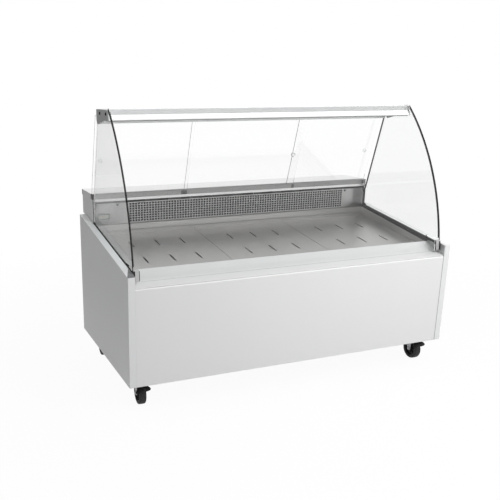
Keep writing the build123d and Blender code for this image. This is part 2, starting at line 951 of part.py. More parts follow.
def riser_depths():
    """Depths at which the liquid and suction lines rise into the duct."""
    liquid_y = condenser_y + condenser_size[1] / 2
    suction_y = (liquid_y + panel_depth) / 2
    return (liquid_y, suction_y)


def air_panel():
    """Perforated steel panel between well and worktop, blank at both ends."""
    low_z = well_rim_rear
    panel = block((-well_half + fit, well_rear, low_z), (well_half - fit, well_rear + sheet, air_panel_top))
    air_left = -well_half + air_blank[0]
    step_x = (2 * well_half - sum(air_blank)) / air_columns
    step_z = (air_panel_top - low_z - 2 * air_margin) / air_rows
    holes = []
    for column in range(air_columns):
        x = air_left + (column + 0.5) * step_x
        for row in range(air_rows):
            z = low_z + air_margin + (row + 0.5) * step_z
            holes.append(Pos(x, z) * Rectangle(*air_hole))
    through = extrude(Plane.XZ.offset(-well_rear - 2 * sheet) * Sketch(children=holes), amount=4 * sheet)
    return panel - through


def thermometer():
    """Framed window on the blank left end of the perforated panel."""
    size_x, size_y, size_z = thermometer_size
    x = -well_half + thermometer_inset
    case = Pos(x, well_rear - size_y / 2, thermometer_z) * Box(*thermometer_size)
    window = Pos(x, well_rear - size_y, thermometer_z) * Box(
        size_x - 2 * thermometer_frame, size_y, size_z - 2 * thermometer_frame
    )
    return case - window


def deck_tray(index):
    """Lift-out deck tray: sloping floor with drain slots, upstands front and rear."""
    pitch = 2 * (well_half - fit) / deck_count
    low_x = -well_half + fit + index * pitch + deck_gap / 2
    high_x = low_x + pitch - deck_gap
    length = math.hypot(deck_rear_y - deck_front_y, deck_rear_z - deck_front_z)
    path = FilletPolyline(
        (0, deck_upstand),
        (0, -sheet),
        (length, -sheet),
        (length, deck_upstand),
        radius=[deck_bend, 0],
    )
    tray = prism(make_face(path.offset_2d(sheet, side=Side.LEFT)), low_x, high_x)
    middle_x = (low_x + high_x) / 2
    step = pitch / (deck_slots + 1)
    for row_y in (deck_slot_inset, length - deck_slot_inset):
        for column in range(deck_slots):
            x = middle_x + (column - (deck_slots - 1) / 2) * step
            tray -= Pos(x, row_y, 0) * Box(deck_slot_width, deck_slot_length, deck_upstand)
    return Pos(0, deck_front_y, deck_front_z) * Rot(math.degrees(deck_angle), 0, 0) * tray


def hollow_tube(low, high, axis):
    """Square tube between two corners, open at both ends along an axis."""
    inner_low = [value + tube_wall for value in low]
    inner_high = [value - tube_wall for value in high]
    inner_low[axis] = low[axis] - tube_wall
    inner_high[axis] = high[axis] + tube_wall
    return block(low, high) - block(inner_low, inner_high)


def base_frame():
    """Tube frame: two long tubes, three cross tubes between them and four posts under the well."""
    half = tube / 2
    tubes = []
    for y in (castor_front_y, castor_rear_y):
        low = (-body_half, y - half, frame_foot)
        high = (body_half, y + half, frame_top)
        tubes.append(hollow_tube(low, high, 0))
    for x in (-castor_x, 0, castor_x):
        low = (x - half, castor_front_y + half, frame_foot)
        high = (x + half, castor_rear_y - half, frame_top)
        tubes.append(hollow_tube(low, high, 1))
    for x in (-castor_x, castor_x):
        for y in (castor_front_y, well_rear):
            low = (x - post / 2, y - post / 2, frame_top)
            high = (x + post / 2, y + post / 2, insulation_foot)
            tubes.append(hollow_tube(low, high, 2))
    return tubes


def floor_tray():
    """Sheet tray on the frame that carries the condensing unit."""
    low = (-castor_x + post / 2 + fit, castor_front_y - tube / 2, frame_top)
    high = (castor_x - post / 2 - fit, castor_rear_y + tube / 2, frame_top + tray_lip)
    tray = block(low, high)
    return tray - block(
        (low[0] + sheet, low[1] + sheet, tray_top),
        (high[0] - sheet, high[1] - sheet, high[2] + 1),
    )


def compressor():
    """Hermetic compressor: a welded shell with a coned lid on a foot plate, with its terminal cover."""
    low_z = tray_top + compressor_foot
    shoulder_z = tray_top + compressor_shoulder
    shell = facet_bar(
        compressor_radius,
        20,
        (compressor_x, compressor_y, low_z),
        (0, 0, 1),
        shoulder_z - low_z,
    )
    lid_foot = Plane((compressor_x, compressor_y, shoulder_z)) * RegularPolygon(compressor_radius, 20)
    shell += extrude(lid_foot, amount=compressor_height - compressor_shoulder, taper=compressor_lid_taper)
    foot = Pos(compressor_x, compressor_y, tray_top + compressor_foot / 2) * Box(
        *compressor_base, compressor_foot
    )
    cover_z = (low_z + shoulder_z) / 2
    cover = Pos(compressor_x, compressor_y - compressor_radius, cover_z) * Box(*terminal_cover)
    return shell + foot + cover


def condenser():
    """Finned heat exchanger: a block slit into fins on both faces, with plain end plates."""
    size_x, size_y, size_z = condenser_size
    core = Pos(unit_x, condenser_y + size_y / 2, unit_z) * Box(size_x, size_y, size_z)
    pitch = (size_x - 2 * condenser_rim) / condenser_slots
    slit_x, slit_depth = condenser_slit
    for index in range(condenser_slots):
        x = unit_x - size_x / 2 + condenser_rim + (index + 0.5) * pitch
        for y in (condenser_y, condenser_y + size_y):
            core -= Pos(x, y, unit_z) * Box(slit_x, 2 * slit_depth, size_z - 2 * condenser_rim)
    return core


def fan_shroud():
    """Shroud on the condenser with a round throat, and three arms that carry the fan motor."""
    size_x, _, size_z = condenser_size
    low_y = condenser_y - shroud_depth
    motor_y = low_y - motor_stand_off - motor_length
    shroud = block(
        (unit_x - size_x / 2, low_y, tray_top),
        (unit_x + size_x / 2, condenser_y, tray_top + size_z),
    )
    shroud -= block(
        (unit_x - size_x / 2 + shroud_wall, low_y + shroud_wall, tray_top + shroud_wall),
        (unit_x + size_x / 2 - shroud_wall, condenser_y + 1, tray_top + size_z - shroud_wall),
    )
    shroud -= facet_bar(fan_radius + throat_gap, 32, (unit_x, low_y - 1, unit_z), (0, 1, 0), shroud_depth)
    shroud += facet_bar(motor_radius, 16, (unit_x, motor_y, unit_z), (0, 1, 0), motor_length)
    shaft_length = motor_length + motor_stand_off + shroud_depth / 2
    shroud += facet_bar(fan_shaft, 16, (unit_x, motor_y, unit_z), (0, 1, 0), shaft_length)
    reach = fan_radius + throat_gap + motor_arm
    leg_length = low_y - motor_y + shroud_wall / 2
    for turn in (30, 150, 270):
        arm = block((motor_radius / 2, -motor_arm / 2, 0), (reach, motor_arm / 2, motor_arm))
        leg = block((reach - motor_arm / 2, -motor_arm / 2, 0), (reach, motor_arm / 2, leg_length))
        shroud += Pos(unit_x, motor_y, unit_z) * Rot(-90, 0, 0) * Rot(0, 0, turn) * (arm + leg)
    return shroud


def condenser_fan():
    """Axial fan: a hub on the motor shaft and pitched blades."""
    hub_length = motor_stand_off - 2
    hub_y = condenser_y - shroud_depth - hub_length
    fan = facet_bar(fan_hub, 20, (unit_x, hub_y, unit_z), (0, 1, 0), hub_length)
    root = fan_hub - 3
    for index in range(fan_blades):
        blade = Pos(0, (fan_radius + root) / 2, 0) * Rot(0, blade_pitch, 0)
        blade = blade * Box(blade_chord, fan_radius - root, blade_thickness)
        turn = Rot(0, 0, 360 / fan_blades * index)
        fan += Pos(unit_x, hub_y + hub_length / 2, unit_z) * Rot(-90, 0, 0) * turn * blade
    return fan - bar(fan_shaft + running_fit, (unit_x, hub_y - 1, unit_z), (0, 1, 0), 2 * hub_length)


def eased(points):
    """Cut each corner of a route in two, as a bent pipe runs round it."""
    route = [Vector(point) for point in points]
    cut_route = [route[0]]
    for before, corner, after in zip(route, route[1:], route[2:]):
        cut_route.append(corner + (before - corner).normalized() * line_bend)
        cut_route.append(corner + (after - corner).normalized() * line_bend)
    return cut_route + [route[-1]]


def pipe(points, radius):
    """Copper line along a route, with an eight-sided section and eased bends."""
    path = Polyline(*eased(points))
    section = Plane(path @ 0, z_dir=path % 0) * RegularPolygon(radius, 8)
    return sweep(section, path=path, transition=Transition.RIGHT)


def copper_lines():
    """Discharge line to the condenser, liquid line up to the evaporator, suction line back down."""
    size_x, size_y, size_z = condenser_size
    shell_top = tray_top + compressor_height
    middle_y = condenser_y + size_y / 2
    left_x = unit_x - size_x / 2 - fit
    right_x = unit_x + size_x / 2 + fit
    upper_z = tray_top + size_z - 2 * condenser_rim
    lower_z = tray_top + 3 * condenser_rim
    coil_x = evaporator_right + evaporator_plate + fit
    coil_z = evaporator_low_z() + line_bend
    liquid_y, suction_y = riser_depths()
    port_z = tray_top + compressor_shoulder - line_bend
    suction_z = insulation_foot - suction_clear
    suction_drop_x = compressor_x + suction_drop
    discharge = pipe(
        [
            (compressor_x, compressor_y, shell_top + fit),
            (compressor_x, compressor_y, upper_z),
            (compressor_x, middle_y, upper_z),
            (left_x, middle_y, upper_z),
        ],
        line_radius,
    )
    liquid = pipe(
        [
            (right_x, liquid_y, lower_z),
            (liquid_riser_x, liquid_y, lower_z),
            (liquid_riser_x, liquid_y, coil_z),
            (coil_x, liquid_y, coil_z),
        ],
        line_radius,
    )
    suction = pipe(
        [
            (coil_x, suction_y, coil_z),
            (suction_riser_x, suction_y, coil_z),
            (suction_riser_x, suction_y, suction_z),
            (suction_riser_x, compressor_y, suction_z),
            (suction_drop_x, compressor_y, suction_z),
            (suction_drop_x, compressor_y, port_z),
            (compressor_x + compressor_radius + fit, compressor_y, port_z),
        ],
        suction_radius,
    )
    return [discharge, liquid, suction]


def evaporator_low_z():
    """Lowest fin edge of the evaporator, clear of the duct's floor."""
    return duct_floor(duct_rear - evaporator_rear_gap) + evaporator_clear


def evaporator():
    """Finned coil in the duct: a slit block between end plates that stand on the duct's floor."""
    low_y = well_rear + rim_flange
    high_y = duct_rear - evaporator_rear_gap
    low_z = evaporator_low_z()
    high_z = worktop_z - evaporator_rear_gap
    core = block((evaporator_left, low_y, low_z), (evaporator_right, high_y, high_z))
    pitch = (evaporator_right - evaporator_left) / evaporator_slots
    slit = (high_z - low_z - evaporator_core) / 2
    for index in range(evaporator_slots):
        x = evaporator_left + (index + 0.5) * pitch
        for z in (low_z, high_z):
            core -= Pos(x, (low_y + high_y) / 2, z) * Box(pitch - evaporator_web, width, 2 * slit)
    stand = sheet + 2 * fit
    plate = outline(
        (low_y, duct_floor(low_y) + stand),
        (high_y, duct_floor(high_y) + stand),
        (high_y, high_z),
        (low_y, high_z),
    )
    left = prism(plate, evaporator_left - evaporator_plate, evaporator_left)
    right = prism(plate, evaporator_right, evaporator_right + evaporator_plate)
    return core + left + right


def drain_pipe():
    """Waste pipe from the well's floor down through the foam."""
    foot_z = insulation_foot - drain_drop
    top_z = floor_line(drain_y)
    outer = drain_bore / 2 - fit
    waste = facet_bar(outer, 12, (0, drain_y, foot_z), (0, 0, 1), top_z - foot_z)
    return waste - facet_bar(outer - 2 * sheet, 12, (0, drain_y, foot_z - 1), (0, 0, 1), top_z - foot_z + 2)


def control_panel():
    """Bezel on the duct's back with a display recess and the rocker's pocket."""
    size_x, size_y, size_z = control_size
    bezel = Pos(control_x, duct_rear + size_y / 2, control_z) * Box(size_x, size_y, size_z)
    display = Pos(display_x, duct_rear + size_y, control_z) * Box(*display_size)
    pocket_x = rocker_size[0] + 2 * fit
    pocket_z = rocker_size[2] + 4
    pocket = Pos(rocker_x, duct_rear + size_y, control_z) * Box(pocket_x, 2 * size_y - 2, pocket_z)
    start_x = rocker_x - pocket_x / 2 - rocker_pin_length
    hole = facet_bar(
        rocker_pin + 2 * running_fit,
        12,
        (start_x, rocker_axis_y(), control_z),
        (1, 0, 0),
        pocket_x + 2 * rocker_pin_length,
    )
    return bezel - display - pocket - hole


def rocker_axis_y():
    """Depth of the rocker's pivot, just under the bezel's face."""
    return duct_rear + control_size[1] - rocker_sink


def power_switch():
    """Rocker with a shallow vee face and its two pivot pins."""
    size_x, size_y, size_z = rocker_size
    axis_y = rocker_axis_y()
    low_y = axis_y - size_y / 2
    high_y = axis_y + size_y / 2
    face = outline(
        (low_y, control_z - size_z / 3),
        (high_y, control_z - size_z / 2),
        (axis_y + rocker_pin + sheet / 2, control_z),
        (high_y, control_z + size_z / 2),
        (low_y, control_z + size_z / 3),
    )
    body = prism(face, rocker_x - size_x / 2, rocker_x + size_x / 2)
    pin_length = rocker_pin_length - fit
    pin = bar(
        rocker_pin,
        (rocker_x - size_x / 2 - pin_length, axis_y, control_z),
        (1, 0, 0),
        size_x + 2 * pin_length,
    )
    return body + pin


def castor_mount():
    """Top plate with the hole that the fork's stem turns in."""
    plate_x, plate_y, plate_z = castor_plate
    plate = Pos(0, 0, frame_foot - plate_z / 2) * Box(plate_x, plate_y, plate_z)
    hole_radius = (king_pin + running_fit) / math.cos(math.pi / 12)
    return plate - facet_bar(hole_radius, 12, (0, 0, frame_foot - 2 * plate_z), (0, 0, 1), 3 * plate_z)


def castor_fork(braked):
    """Pressed fork: swivel head, bridge, two tapering legs and the axle."""
    leg_inner = wheel_width / 2 + fork_gap
    leg_outer = leg_inner + fork_wall
    pedal_x, pedal_z = pedal_axis()
    ear_x = pedal_x + 2 * pedal_pin if braked else trail
    leg = outline(
        (-fork_rear, bridge_top),
        (ear_x, bridge_top),
        (ear_x, pedal_z - 2 * pedal_pin),
        (trail + 2 * axle, wheel_radius),
        (trail + axle, wheel_radius - 2 * axle),
        (trail - axle, wheel_radius - 2 * axle),
        (trail - 2 * axle, wheel_radius),
    )
    fork = extrude(Plane.XZ.offset(leg_inner) * leg, amount=fork_wall)
    fork += extrude(Plane.XZ.offset(-leg_outer) * leg, amount=fork_wall)
    fork += block((-fork_rear, -leg_outer, bridge_low), (fork_rear, leg_outer, bridge_top))
    fork += facet_bar(fork_rear, 16, (0, 0, bridge_low), (0, 0, 1), head_top - bridge_low)
    fork += bar(king_pin, (0, 0, head_top), (0, 0, 1), castor_plate[2])
    fork += facet_bar(axle, 16, (trail, -leg_outer, wheel_radius), (0, 1, 0), 2 * leg_outer)
    if braked:
        fork += facet_bar(pedal_pin, 12, (pedal_x, -leg_outer, pedal_z), (0, 1, 0), 2 * leg_outer)
    return fork


def pedal_axis():
    """Pivot of the brake pedal, between the fork's ears."""
    return (trail + pedal_reach, bridge_top - 2 * pedal_pin)


def brake_pedal():
    """Brake pedal: a sleeve on its pin and a broad hooded paddle over the wheel."""
    x, z = pedal_axis()
    sleeve_half = wheel_width / 2
    sleeve = facet_bar(2 * pedal_pin, 12, (x, -sleeve_half, z), (0, 1, 0), 2 * sleeve_half)
    tip = x + pedal_length
    side = outline(
        (x, z + 2 * pedal_pin),
        (x + pedal_length * 0.55, z + pedal_pin),
        (tip, z - pedal_drop),
        (tip - pedal_pin, z - pedal_drop - 1.5 * pedal_pin),
        (x + pedal_length * 0.5, z - pedal_pin),
        (x, z + pedal_pin / 2),
    )
    paddle = extrude(Plane.XZ.offset(-pedal_half) * side, amount=2 * pedal_half)
    plan = outline(
        (x - pedal_pin, -sleeve_half),
        (x + 4 * pedal_pin, -sleeve_half),
        (x + 6 * pedal_pin, -pedal_half),
        (tip - 4 * pedal_pin, -pedal_half),
        (tip, -sleeve_half),
        (tip, sleeve_half),
        (tip - 4 * pedal_pin, pedal_half),
        (x + 6 * pedal_pin, pedal_half),
        (x + 4 * pedal_pin, sleeve_half),
        (x - pedal_pin, sleeve_half),
    )
    paddle &= extrude(plan, amount=frame_foot)
    bore = bar(pedal_pin + running_fit, (x, -pedal_half, z), (0, 1, 0), 2 * pedal_half)
    return sleeve + paddle - bore


def castor_wheel():
    """Solid wheel, bored for the axle."""
    tread = bar(wheel_radius, (trail, -wheel_width / 2, wheel_radius), (0, 1, 0), wheel_width)
    return tread - bar(axle + running_fit, (trail, -wheel_width, wheel_radius), (0, 1, 0), 2 * wheel_width)


castors = {
    "front_left": (-castor_x, castor_front_y, -93.0, True),
    "front_right": (castor_x, castor_front_y, -93.0, True),
    "rear_left": (-castor_x, castor_rear_y, -93.0, False),
    "rear_right": (castor_x, castor_rear_y, -93.0, False),
}


def pane_layout():
    """Ends, layer and knob position of each rear pane as it stands closed."""
    seam = glass_half - side_pane_width
    middle_low = -seam - pane_overlap + middle_pane_shift
    middle_high = seam + pane_overlap + middle_pane_shift
    return {
        "left": (-glass_half, -seam, 1, -glass_half + knob_inset),
        "middle": (middle_low, middle_high, -1, middle_high - knob_inset),
        "right": (seam, glass_half, 1, glass_half - knob_inset),
    }


def write_pair(name, solid):
    """A piece of the right side and its mirror image on the left."""
    save(name + "_right", solid)
    save(name + "_left", mirrored(solid))


def main():
    os.makedirs("parts", exist_ok=True)
    write_pair("end_panel", end_panel())
    save("front_panel", front_panel())
    save("rear_panel", rear_panel())
    save("rear_grille", rear_grille())
    save("well_tub", well_tub())
    save("well_insulation", *well_insulation())
    save("front_rail", front_rail())
    write_pair("rail_cap", rail_cap())
    write_pair("side_channel", side_channel())
    write_pair("side_glass", side_glass())
    save("front_glass", front_glass())
    clamp = glass_clamp()
    save("glass_clamps", clamp, mirrored(clamp))
    save("canopy", canopy())
    write_pair("canopy_bracket", canopy_bracket())
    save("lamp", lamp())
    save("screws", *screws())
    save("door_sill_track", door_sill_track())
    save("door_head_track", door_head_track())
    panes = pane_layout()
    for name, (low_x, high_x, layer, knob_x) in panes.items():
        save("rear_pane_" + name, rear_pane(low_x, high_x, layer))
        save("pane_knob_" + name, pane_knob(knob_x, layer))
    save("worktop", worktop())
    save("rear_duct", rear_duct())
    save("air_panel", air_panel())
    save("thermometer", thermometer())
    for index, name in enumerate(("left", "middle", "right")):
        save("deck_tray_" + name, deck_tray(index))
    save("base_frame", *base_frame())
    save("floor_tray", floor_tray())
    save("compressor", compressor())
    save("condenser", condenser())
    save("fan_shroud", fan_shroud())
    save("condenser_fan", condenser_fan())
    save("copper_lines", *copper_lines())
    save("evaporator", evaporator())
    save("drain_pipe", drain_pipe())
    save("control_panel", control_panel())
    save("power_switch", power_switch())
    mount = castor_mount()
    mounts = []
    for name, (x, y, heading, braked) in castors.items():
        place = Pos(x, y, 0) * Rot(0, 0, heading)
        mounts.append(Pos(x, y, 0) * mount)
        save("castor_fork_" + name, place * castor_fork(braked))
        save("castor_wheel_" + name, place * castor_wheel())
        if braked:
            save("brake_pedal_" + name, place * brake_pedal())
    save("castor_plates", *mounts)


main()
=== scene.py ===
# %% [markdown]
# # A fish display case in Blender
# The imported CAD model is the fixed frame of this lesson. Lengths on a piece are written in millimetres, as
# in a workshop drawing, and turned into metres in one place.

# %% Load the frame
import json
import math

import bmesh
import bpy
from mathutils import Matrix, Vector


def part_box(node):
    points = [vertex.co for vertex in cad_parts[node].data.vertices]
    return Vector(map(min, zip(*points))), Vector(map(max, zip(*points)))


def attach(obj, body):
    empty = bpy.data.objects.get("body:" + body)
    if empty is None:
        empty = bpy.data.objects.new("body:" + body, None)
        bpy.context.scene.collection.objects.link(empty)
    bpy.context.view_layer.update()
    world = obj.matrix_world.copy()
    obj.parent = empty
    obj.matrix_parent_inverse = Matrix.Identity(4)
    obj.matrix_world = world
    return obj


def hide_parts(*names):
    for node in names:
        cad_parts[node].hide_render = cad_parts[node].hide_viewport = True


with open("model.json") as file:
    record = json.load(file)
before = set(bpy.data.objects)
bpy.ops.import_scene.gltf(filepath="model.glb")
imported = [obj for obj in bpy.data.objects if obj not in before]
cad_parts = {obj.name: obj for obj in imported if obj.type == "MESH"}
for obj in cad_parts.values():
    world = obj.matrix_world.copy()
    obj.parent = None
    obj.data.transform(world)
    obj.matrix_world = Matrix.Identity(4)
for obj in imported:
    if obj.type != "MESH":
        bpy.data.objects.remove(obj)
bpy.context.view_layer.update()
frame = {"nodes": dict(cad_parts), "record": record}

nodes = frame["nodes"]
scene = bpy.context.scene

# %% [markdown]
# ## Camera
# A product picture is taken with a long lens from a little above the counter. The picture is cropped off
# centre, so the lens is shifted rather than turned: turning it would make the uprights converge.

# %% Camera
camera_data = bpy.data.cameras.new("studio_camera")
camera_data.sensor_width = 36.0
camera_data.lens = 48.41
camera_data.shift_x = 0.162
camera_data.shift_y = 0.0656
camera = bpy.data.objects.new("studio_camera", camera_data)
camera.location = (-1.940, -3.559, 1.650)
camera.rotation_euler = (math.radians(73.63), 0.0, math.radians(-20.88))
scene.collection.objects.link(camera)
scene.camera = camera
scene.view_settings.view_transform = "Standard"
print("camera looks from", tuple(round(v, 2) for v in camera.location))

# %% [markdown]
# ## Studio
# The room is a white cove: pale floor, pale background, one wide soft light over the counter and a second
# one at the right of the camera. The world lights the case more from above, from behind and from the right
# than from the left, which is what shades the left end panel. Polished steel shows what stands around it, so
# the world seen in metal is set on its own: nearly even white, a little brighter above, with a dark flag at
# the left, as photographers hang one to draw the edges of glass. Rays from the camera and through the glass
# meet plain white.

# %% Node helpers
WHITE = (1.0, 1.0, 1.0, 1.0)


def feed(tree, socket, value):
    """Set an input to a plain value, or link it to another node's output."""
    if isinstance(value, bpy.types.NodeSocket):
        tree.links.new(value, socket)
    else:
        socket.default_value = value


def fill(tree, node, inputs):
    """Feed a node's inputs by name."""
    for name, value in inputs.items():
        feed(tree, node.inputs[name.replace("_", " ")], value)
    return node


def put(tree, kind, **inputs):
    """Add a shader node of one kind and feed its inputs."""
    return fill(tree, tree.nodes.new("ShaderNode" + kind), inputs)


def maths(tree, operation, *values, kind="Math", out="Value"):
    """Add a Math or VectorMath node and feed its inputs in order."""
    node = put(tree, kind)
    node.operation = operation
    for socket, value in zip(node.inputs, values):
        feed(tree, socket, value)
    return node.outputs[out]


def on_object(tree):
    """Coordinates that stay with the object."""
    return put(tree, "TexCoord").outputs["Object"]


def two_tones(tree, share, first, second):
    """Mix two colours by a mask. The first may be the output of another mix."""
    mix = put(tree, "Mix")
    mix.data_type = "RGBA"
    for label, value in (("A", first), ("B", second), ("Factor", share)):
        feed(tree, mix.inputs[label], (*value, 1.0) if isinstance(value, tuple) else value)
    return mix.outputs["Result"]


def mix_shaders(tree, share, first, second):
    """Mix two shaders by a mask."""
    both = put(tree, "MixShader")
    for socket, value in zip(both.inputs, (share, first.outputs[0], second.outputs[0])):
        feed(tree, socket, value)
    return both


# %% Room helpers
def seen_rays(tree):
    """Light paths, and a mask of the rays from the camera and through the glass."""
    rays = put(tree, "LightPath").outputs
    return rays, maths(tree, "MAXIMUM", rays["Is Camera Ray"], rays["Is Transmission Ray"])


def soft_flag(tree, place, edges, low, high):
    """Level that rises softly to the right, from low to high between two edges."""
    split = put(tree, "SeparateXYZ", Vector=place)
    flag = put(tree, "MapRange", Value=split.outputs["X"],
               From_Min=edges[0], From_Max=edges[1], To_Min=low, To_Max=high)
    flag.interpolation_type = "SMOOTHSTEP"
    return flag.outputs["Result"]


# %% World
LIGHT_MIDDLE, LIGHT_SLOPE = 0.40, (0.20, 0.20, 0.24)
SHINE_MIDDLE, SHINE_SLOPE = 0.92, (0.0, 0.04, 0.20)
LEAST_LIGHT = 0.05
FLAG_EDGES, FLAG_LEVEL = (-0.28, 0.16), 0.22

world = scene.world = bpy.data.worlds.new("white_cove")
world.use_nodes = True
tree = world.node_tree
tree.nodes.clear()
direction = put(tree, "TexCoord").outputs["Generated"]


def level(slope, middle):
    """Level that grows along a direction, and never falls to black."""
    part = maths(tree, "DOT_PRODUCT", direction, slope, kind="VectorMath")
    return maths(tree, "MAXIMUM", maths(tree, "ADD", part, middle), LEAST_LIGHT)


flagged = soft_flag(tree, direction, FLAG_EDGES, FLAG_LEVEL, 1.0)
shine = maths(tree, "MULTIPLY", level(SHINE_SLOPE, SHINE_MIDDLE), flagged)
lighting = put(tree, "Background", Color=level(LIGHT_SLOPE, LIGHT_MIDDLE))
in_metal = put(tree, "Background", Color=shine)
white = put(tree, "Background", Color=WHITE)
rays, seen = seen_rays(tree)
lit = mix_shaders(tree, rays["Is Glossy Ray"], lighting, in_metal)
put(tree, "OutputWorld", Surface=mix_shaders(tree, seen, lit, white).outputs[0])
print("world built with", len(tree.nodes), "nodes")


# %% Lamps
def soft_lamp(name, place, target, size, power):
    """A soft box that faces a point. Steel and glass show the cove instead of the box."""
    data = bpy.data.lights.new(name, "AREA")
    data.shape = "RECTANGLE"
    data.size, data.size_y = size
    data.energy = power
    lamp = bpy.data.objects.new(name, data)
    lamp.location = place
    aim = Vector(target) - Vector(place)
    lamp.rotation_euler = aim.to_track_quat("-Z", "Y").to_euler()
    lamp.visible_glossy = lamp.visible_transmission = False
    scene.collection.objects.link(lamp)
    print(name, "gives", power, "W")


soft_lamp("over_counter", (0.5, -1.4, 3.6), (0.2, 0.0, 0.8), (3.2, 2.4), 24.0)
soft_lamp("right_of_camera", (1.5, -3.0, 2.8), (0.3, -0.5, 0.5), (1.8, 1.8), 68.0)

# %% Floor
FLOOR_HALF = 9.0
FADE_FROM, FADE_TO, NEAR_SHARE, FAR_SHARE = 1.4, 3.4, 0.95, 1.0
FLAGGED_EDGES, IN_METAL_SHARE = (-1.7, -0.7), 0.7
LIT_TONE, SEEN_TONE = (0.55, 0.55, 0.55), (0.88, 0.88, 0.88)
floor_mesh = bpy.data.meshes.new("studio_floor")
corners = [(x * FLOOR_HALF, y * FLOOR_HALF, 0.0) for x, y in ((-1, -1), (1, -1), (1, 1), (-1, 1))]
floor_mesh.from_pydata(corners, [], [(0, 1, 2, 3)])
studio_floor = bpy.data.objects.new("studio_floor", floor_mesh)
scene.collection.objects.link(studio_floor)
floor_paint = bpy.data.materials.new("floor_paint")
floor_paint.use_nodes = True
tree = floor_paint.node_tree
tree.nodes.clear()
rays, seen = seen_rays(tree)
place = on_object(tree)
reach = maths(tree, "LENGTH", place, kind="VectorMath")
fade = put(tree, "MapRange", Value=reach, From_Min=FADE_FROM, From_Max=FADE_TO,
           To_Min=NEAR_SHARE, To_Max=FAR_SHARE)
flagged = soft_flag(tree, place, FLAGGED_EDGES, 0.0, IN_METAL_SHARE)
in_metal = maths(tree, "MULTIPLY", rays["Is Glossy Ray"], flagged)
share = maths(tree, "MULTIPLY", maths(tree, "MAXIMUM", seen, in_metal), fade.outputs["Result"])
matt = put(tree, "BsdfDiffuse", Color=two_tones(tree, seen, LIT_TONE, SEEN_TONE))
glow = put(tree, "Emission", Color=WHITE)
put(tree, "OutputMaterial", Surface=mix_shaders(tree, share, matt, glow).outputs[0])
floor_mesh.materials.append(floor_paint)
print("floor is", 2 * FLOOR_HALF, "m wide")

# %% [markdown]
# ## Shared surface effects
# Four effects turn up on several finishes: soft patches of slightly different tone, the grain that a
# brushing belt leaves in steel, the fine waviness of sprayed paint, and the small rounding of a sheet's edge.
# Each is a node group that is built once. A group gives out only values, masks and normals, and the
# Principled shader stays in the material.

# %% Effect groups
FLOAT, VECTOR = 0.0, (0.0, 0.0, 0.0)


def new_group(name, inputs, outputs):
    """Make a node group from socket names and starting values. Gives also its two ends."""
    group = bpy.data.node_groups.new(name, "ShaderNodeTree")
    for in_out, sockets in (("INPUT", inputs), ("OUTPUT", outputs)):
        for label, start in sockets.items():
            kind = "NodeSocketVector" if isinstance(start, tuple) else "NodeSocketFloat"
            group.interface.new_socket(label, in_out=in_out, socket_type=kind).default_value = start
    entry = group.nodes.new("NodeGroupInput")
    leave = group.nodes.new("NodeGroupOutput")
    return group, entry.outputs, leave.inputs


# %% Soft patches
CLOUD_LOW, CLOUD_HIGH = 0.22, 0.78
soft_patches, entry, leave = new_group(
    "soft_patches", {"Scale": 3.0, "Low": 0.0, "High": 1.0}, {"Value": FLOAT}
)
cloud = put(soft_patches, "TexNoise", Vector=on_object(soft_patches), Scale=entry["Scale"],
            Detail=4.0, Roughness=0.55)
spread = put(soft_patches, "MapRange", Value=cloud.outputs["Fac"],
             From_Min=CLOUD_LOW, From_Max=CLOUD_HIGH, To_Min=entry["Low"], To_Max=entry["High"])
feed(soft_patches, leave["Value"], spread.outputs["Result"])

# %% Brushed grain
ALONG_X = (3.0, 900.0, 900.0)
brushed_grain, entry, leave = new_group("brushed_grain", {"Stretch": ALONG_X}, {"Grain": FLOAT})
pull = maths(brushed_grain, "MULTIPLY", on_object(brushed_grain), entry["Stretch"],
             kind="VectorMath", out="Vector")
hair = put(brushed_grain, "TexNoise", Vector=pull, Scale=1.0, Detail=3.0, Roughness=0.65)
feed(brushed_grain, leave["Grain"], hair.outputs["Fac"])

# %% Paint peel
paint_peel, entry, leave = new_group("paint_peel", {"Scale": 500.0}, {"Height": FLOAT})
ripple = put(paint_peel, "TexNoise", Vector=on_object(paint_peel), Scale=entry["Scale"], Detail=1.0)
feed(paint_peel, leave["Height"], ripple.outputs["Fac"])

# %% Eased edge
FLAT_FROM, TURNED_FROM = 0.995, 0.80
eased_edge, entry, leave = new_group("eased_edge", {"Radius": 0.001}, {"Mask": FLOAT, "Normal": VECTOR})
round_off = put(eased_edge, "Bevel", Radius=entry["Radius"])
round_off.samples = 4
flat = put(eased_edge, "NewGeometry")
eased = round_off.outputs["Normal"]
turn = maths(eased_edge, "DOT_PRODUCT", eased, flat.outputs["Normal"], kind="VectorMath")
mask = put(eased_edge, "MapRange", Value=turn, From_Min=FLAT_FROM, From_Max=TURNED_FROM)
feed(eased_edge, leave["Mask"], mask.outputs["Result"])
feed(eased_edge, leave["Normal"], eased)
print("effect groups:", [g.name for g in bpy.data.node_groups])

# %% Material helpers
finish = {}


def start_material(name, **sockets):
    """A new finish. Gives its nodes and its Principled shader's inputs."""
    finish[name] = bpy.data.materials.new(name)
    finish[name].use_nodes = True
    tree = finish[name].node_tree
    return tree, fill(tree, tree.nodes["Principled BSDF"], sockets).inputs


def use(tree, group, **values):
    """Place an effect group and set its inputs."""
    node = put(tree, "Group")
    node.node_tree = group
    return fill(tree, node, values).outputs


def shade(colour, factor):
    return tuple(channel * factor for channel in colour)


def marked_off(tree, plain, axis, operation, limit, colour):
    """Give the part of a surface beyond a straight line another colour."""
    split = put(tree, "SeparateXYZ", Vector=on_object(tree))
    return two_tones(tree, maths(tree, operation, split.outputs[axis], limit), plain, colour)


def worn_gloss(tree, shader, roughness, scale, spread):
    """Roughness that changes a little over the surface."""
    gloss = use(tree, soft_patches, Scale=scale, Low=roughness - spread, High=roughness + spread)
    feed(tree, shader["Roughness"], gloss["Value"])


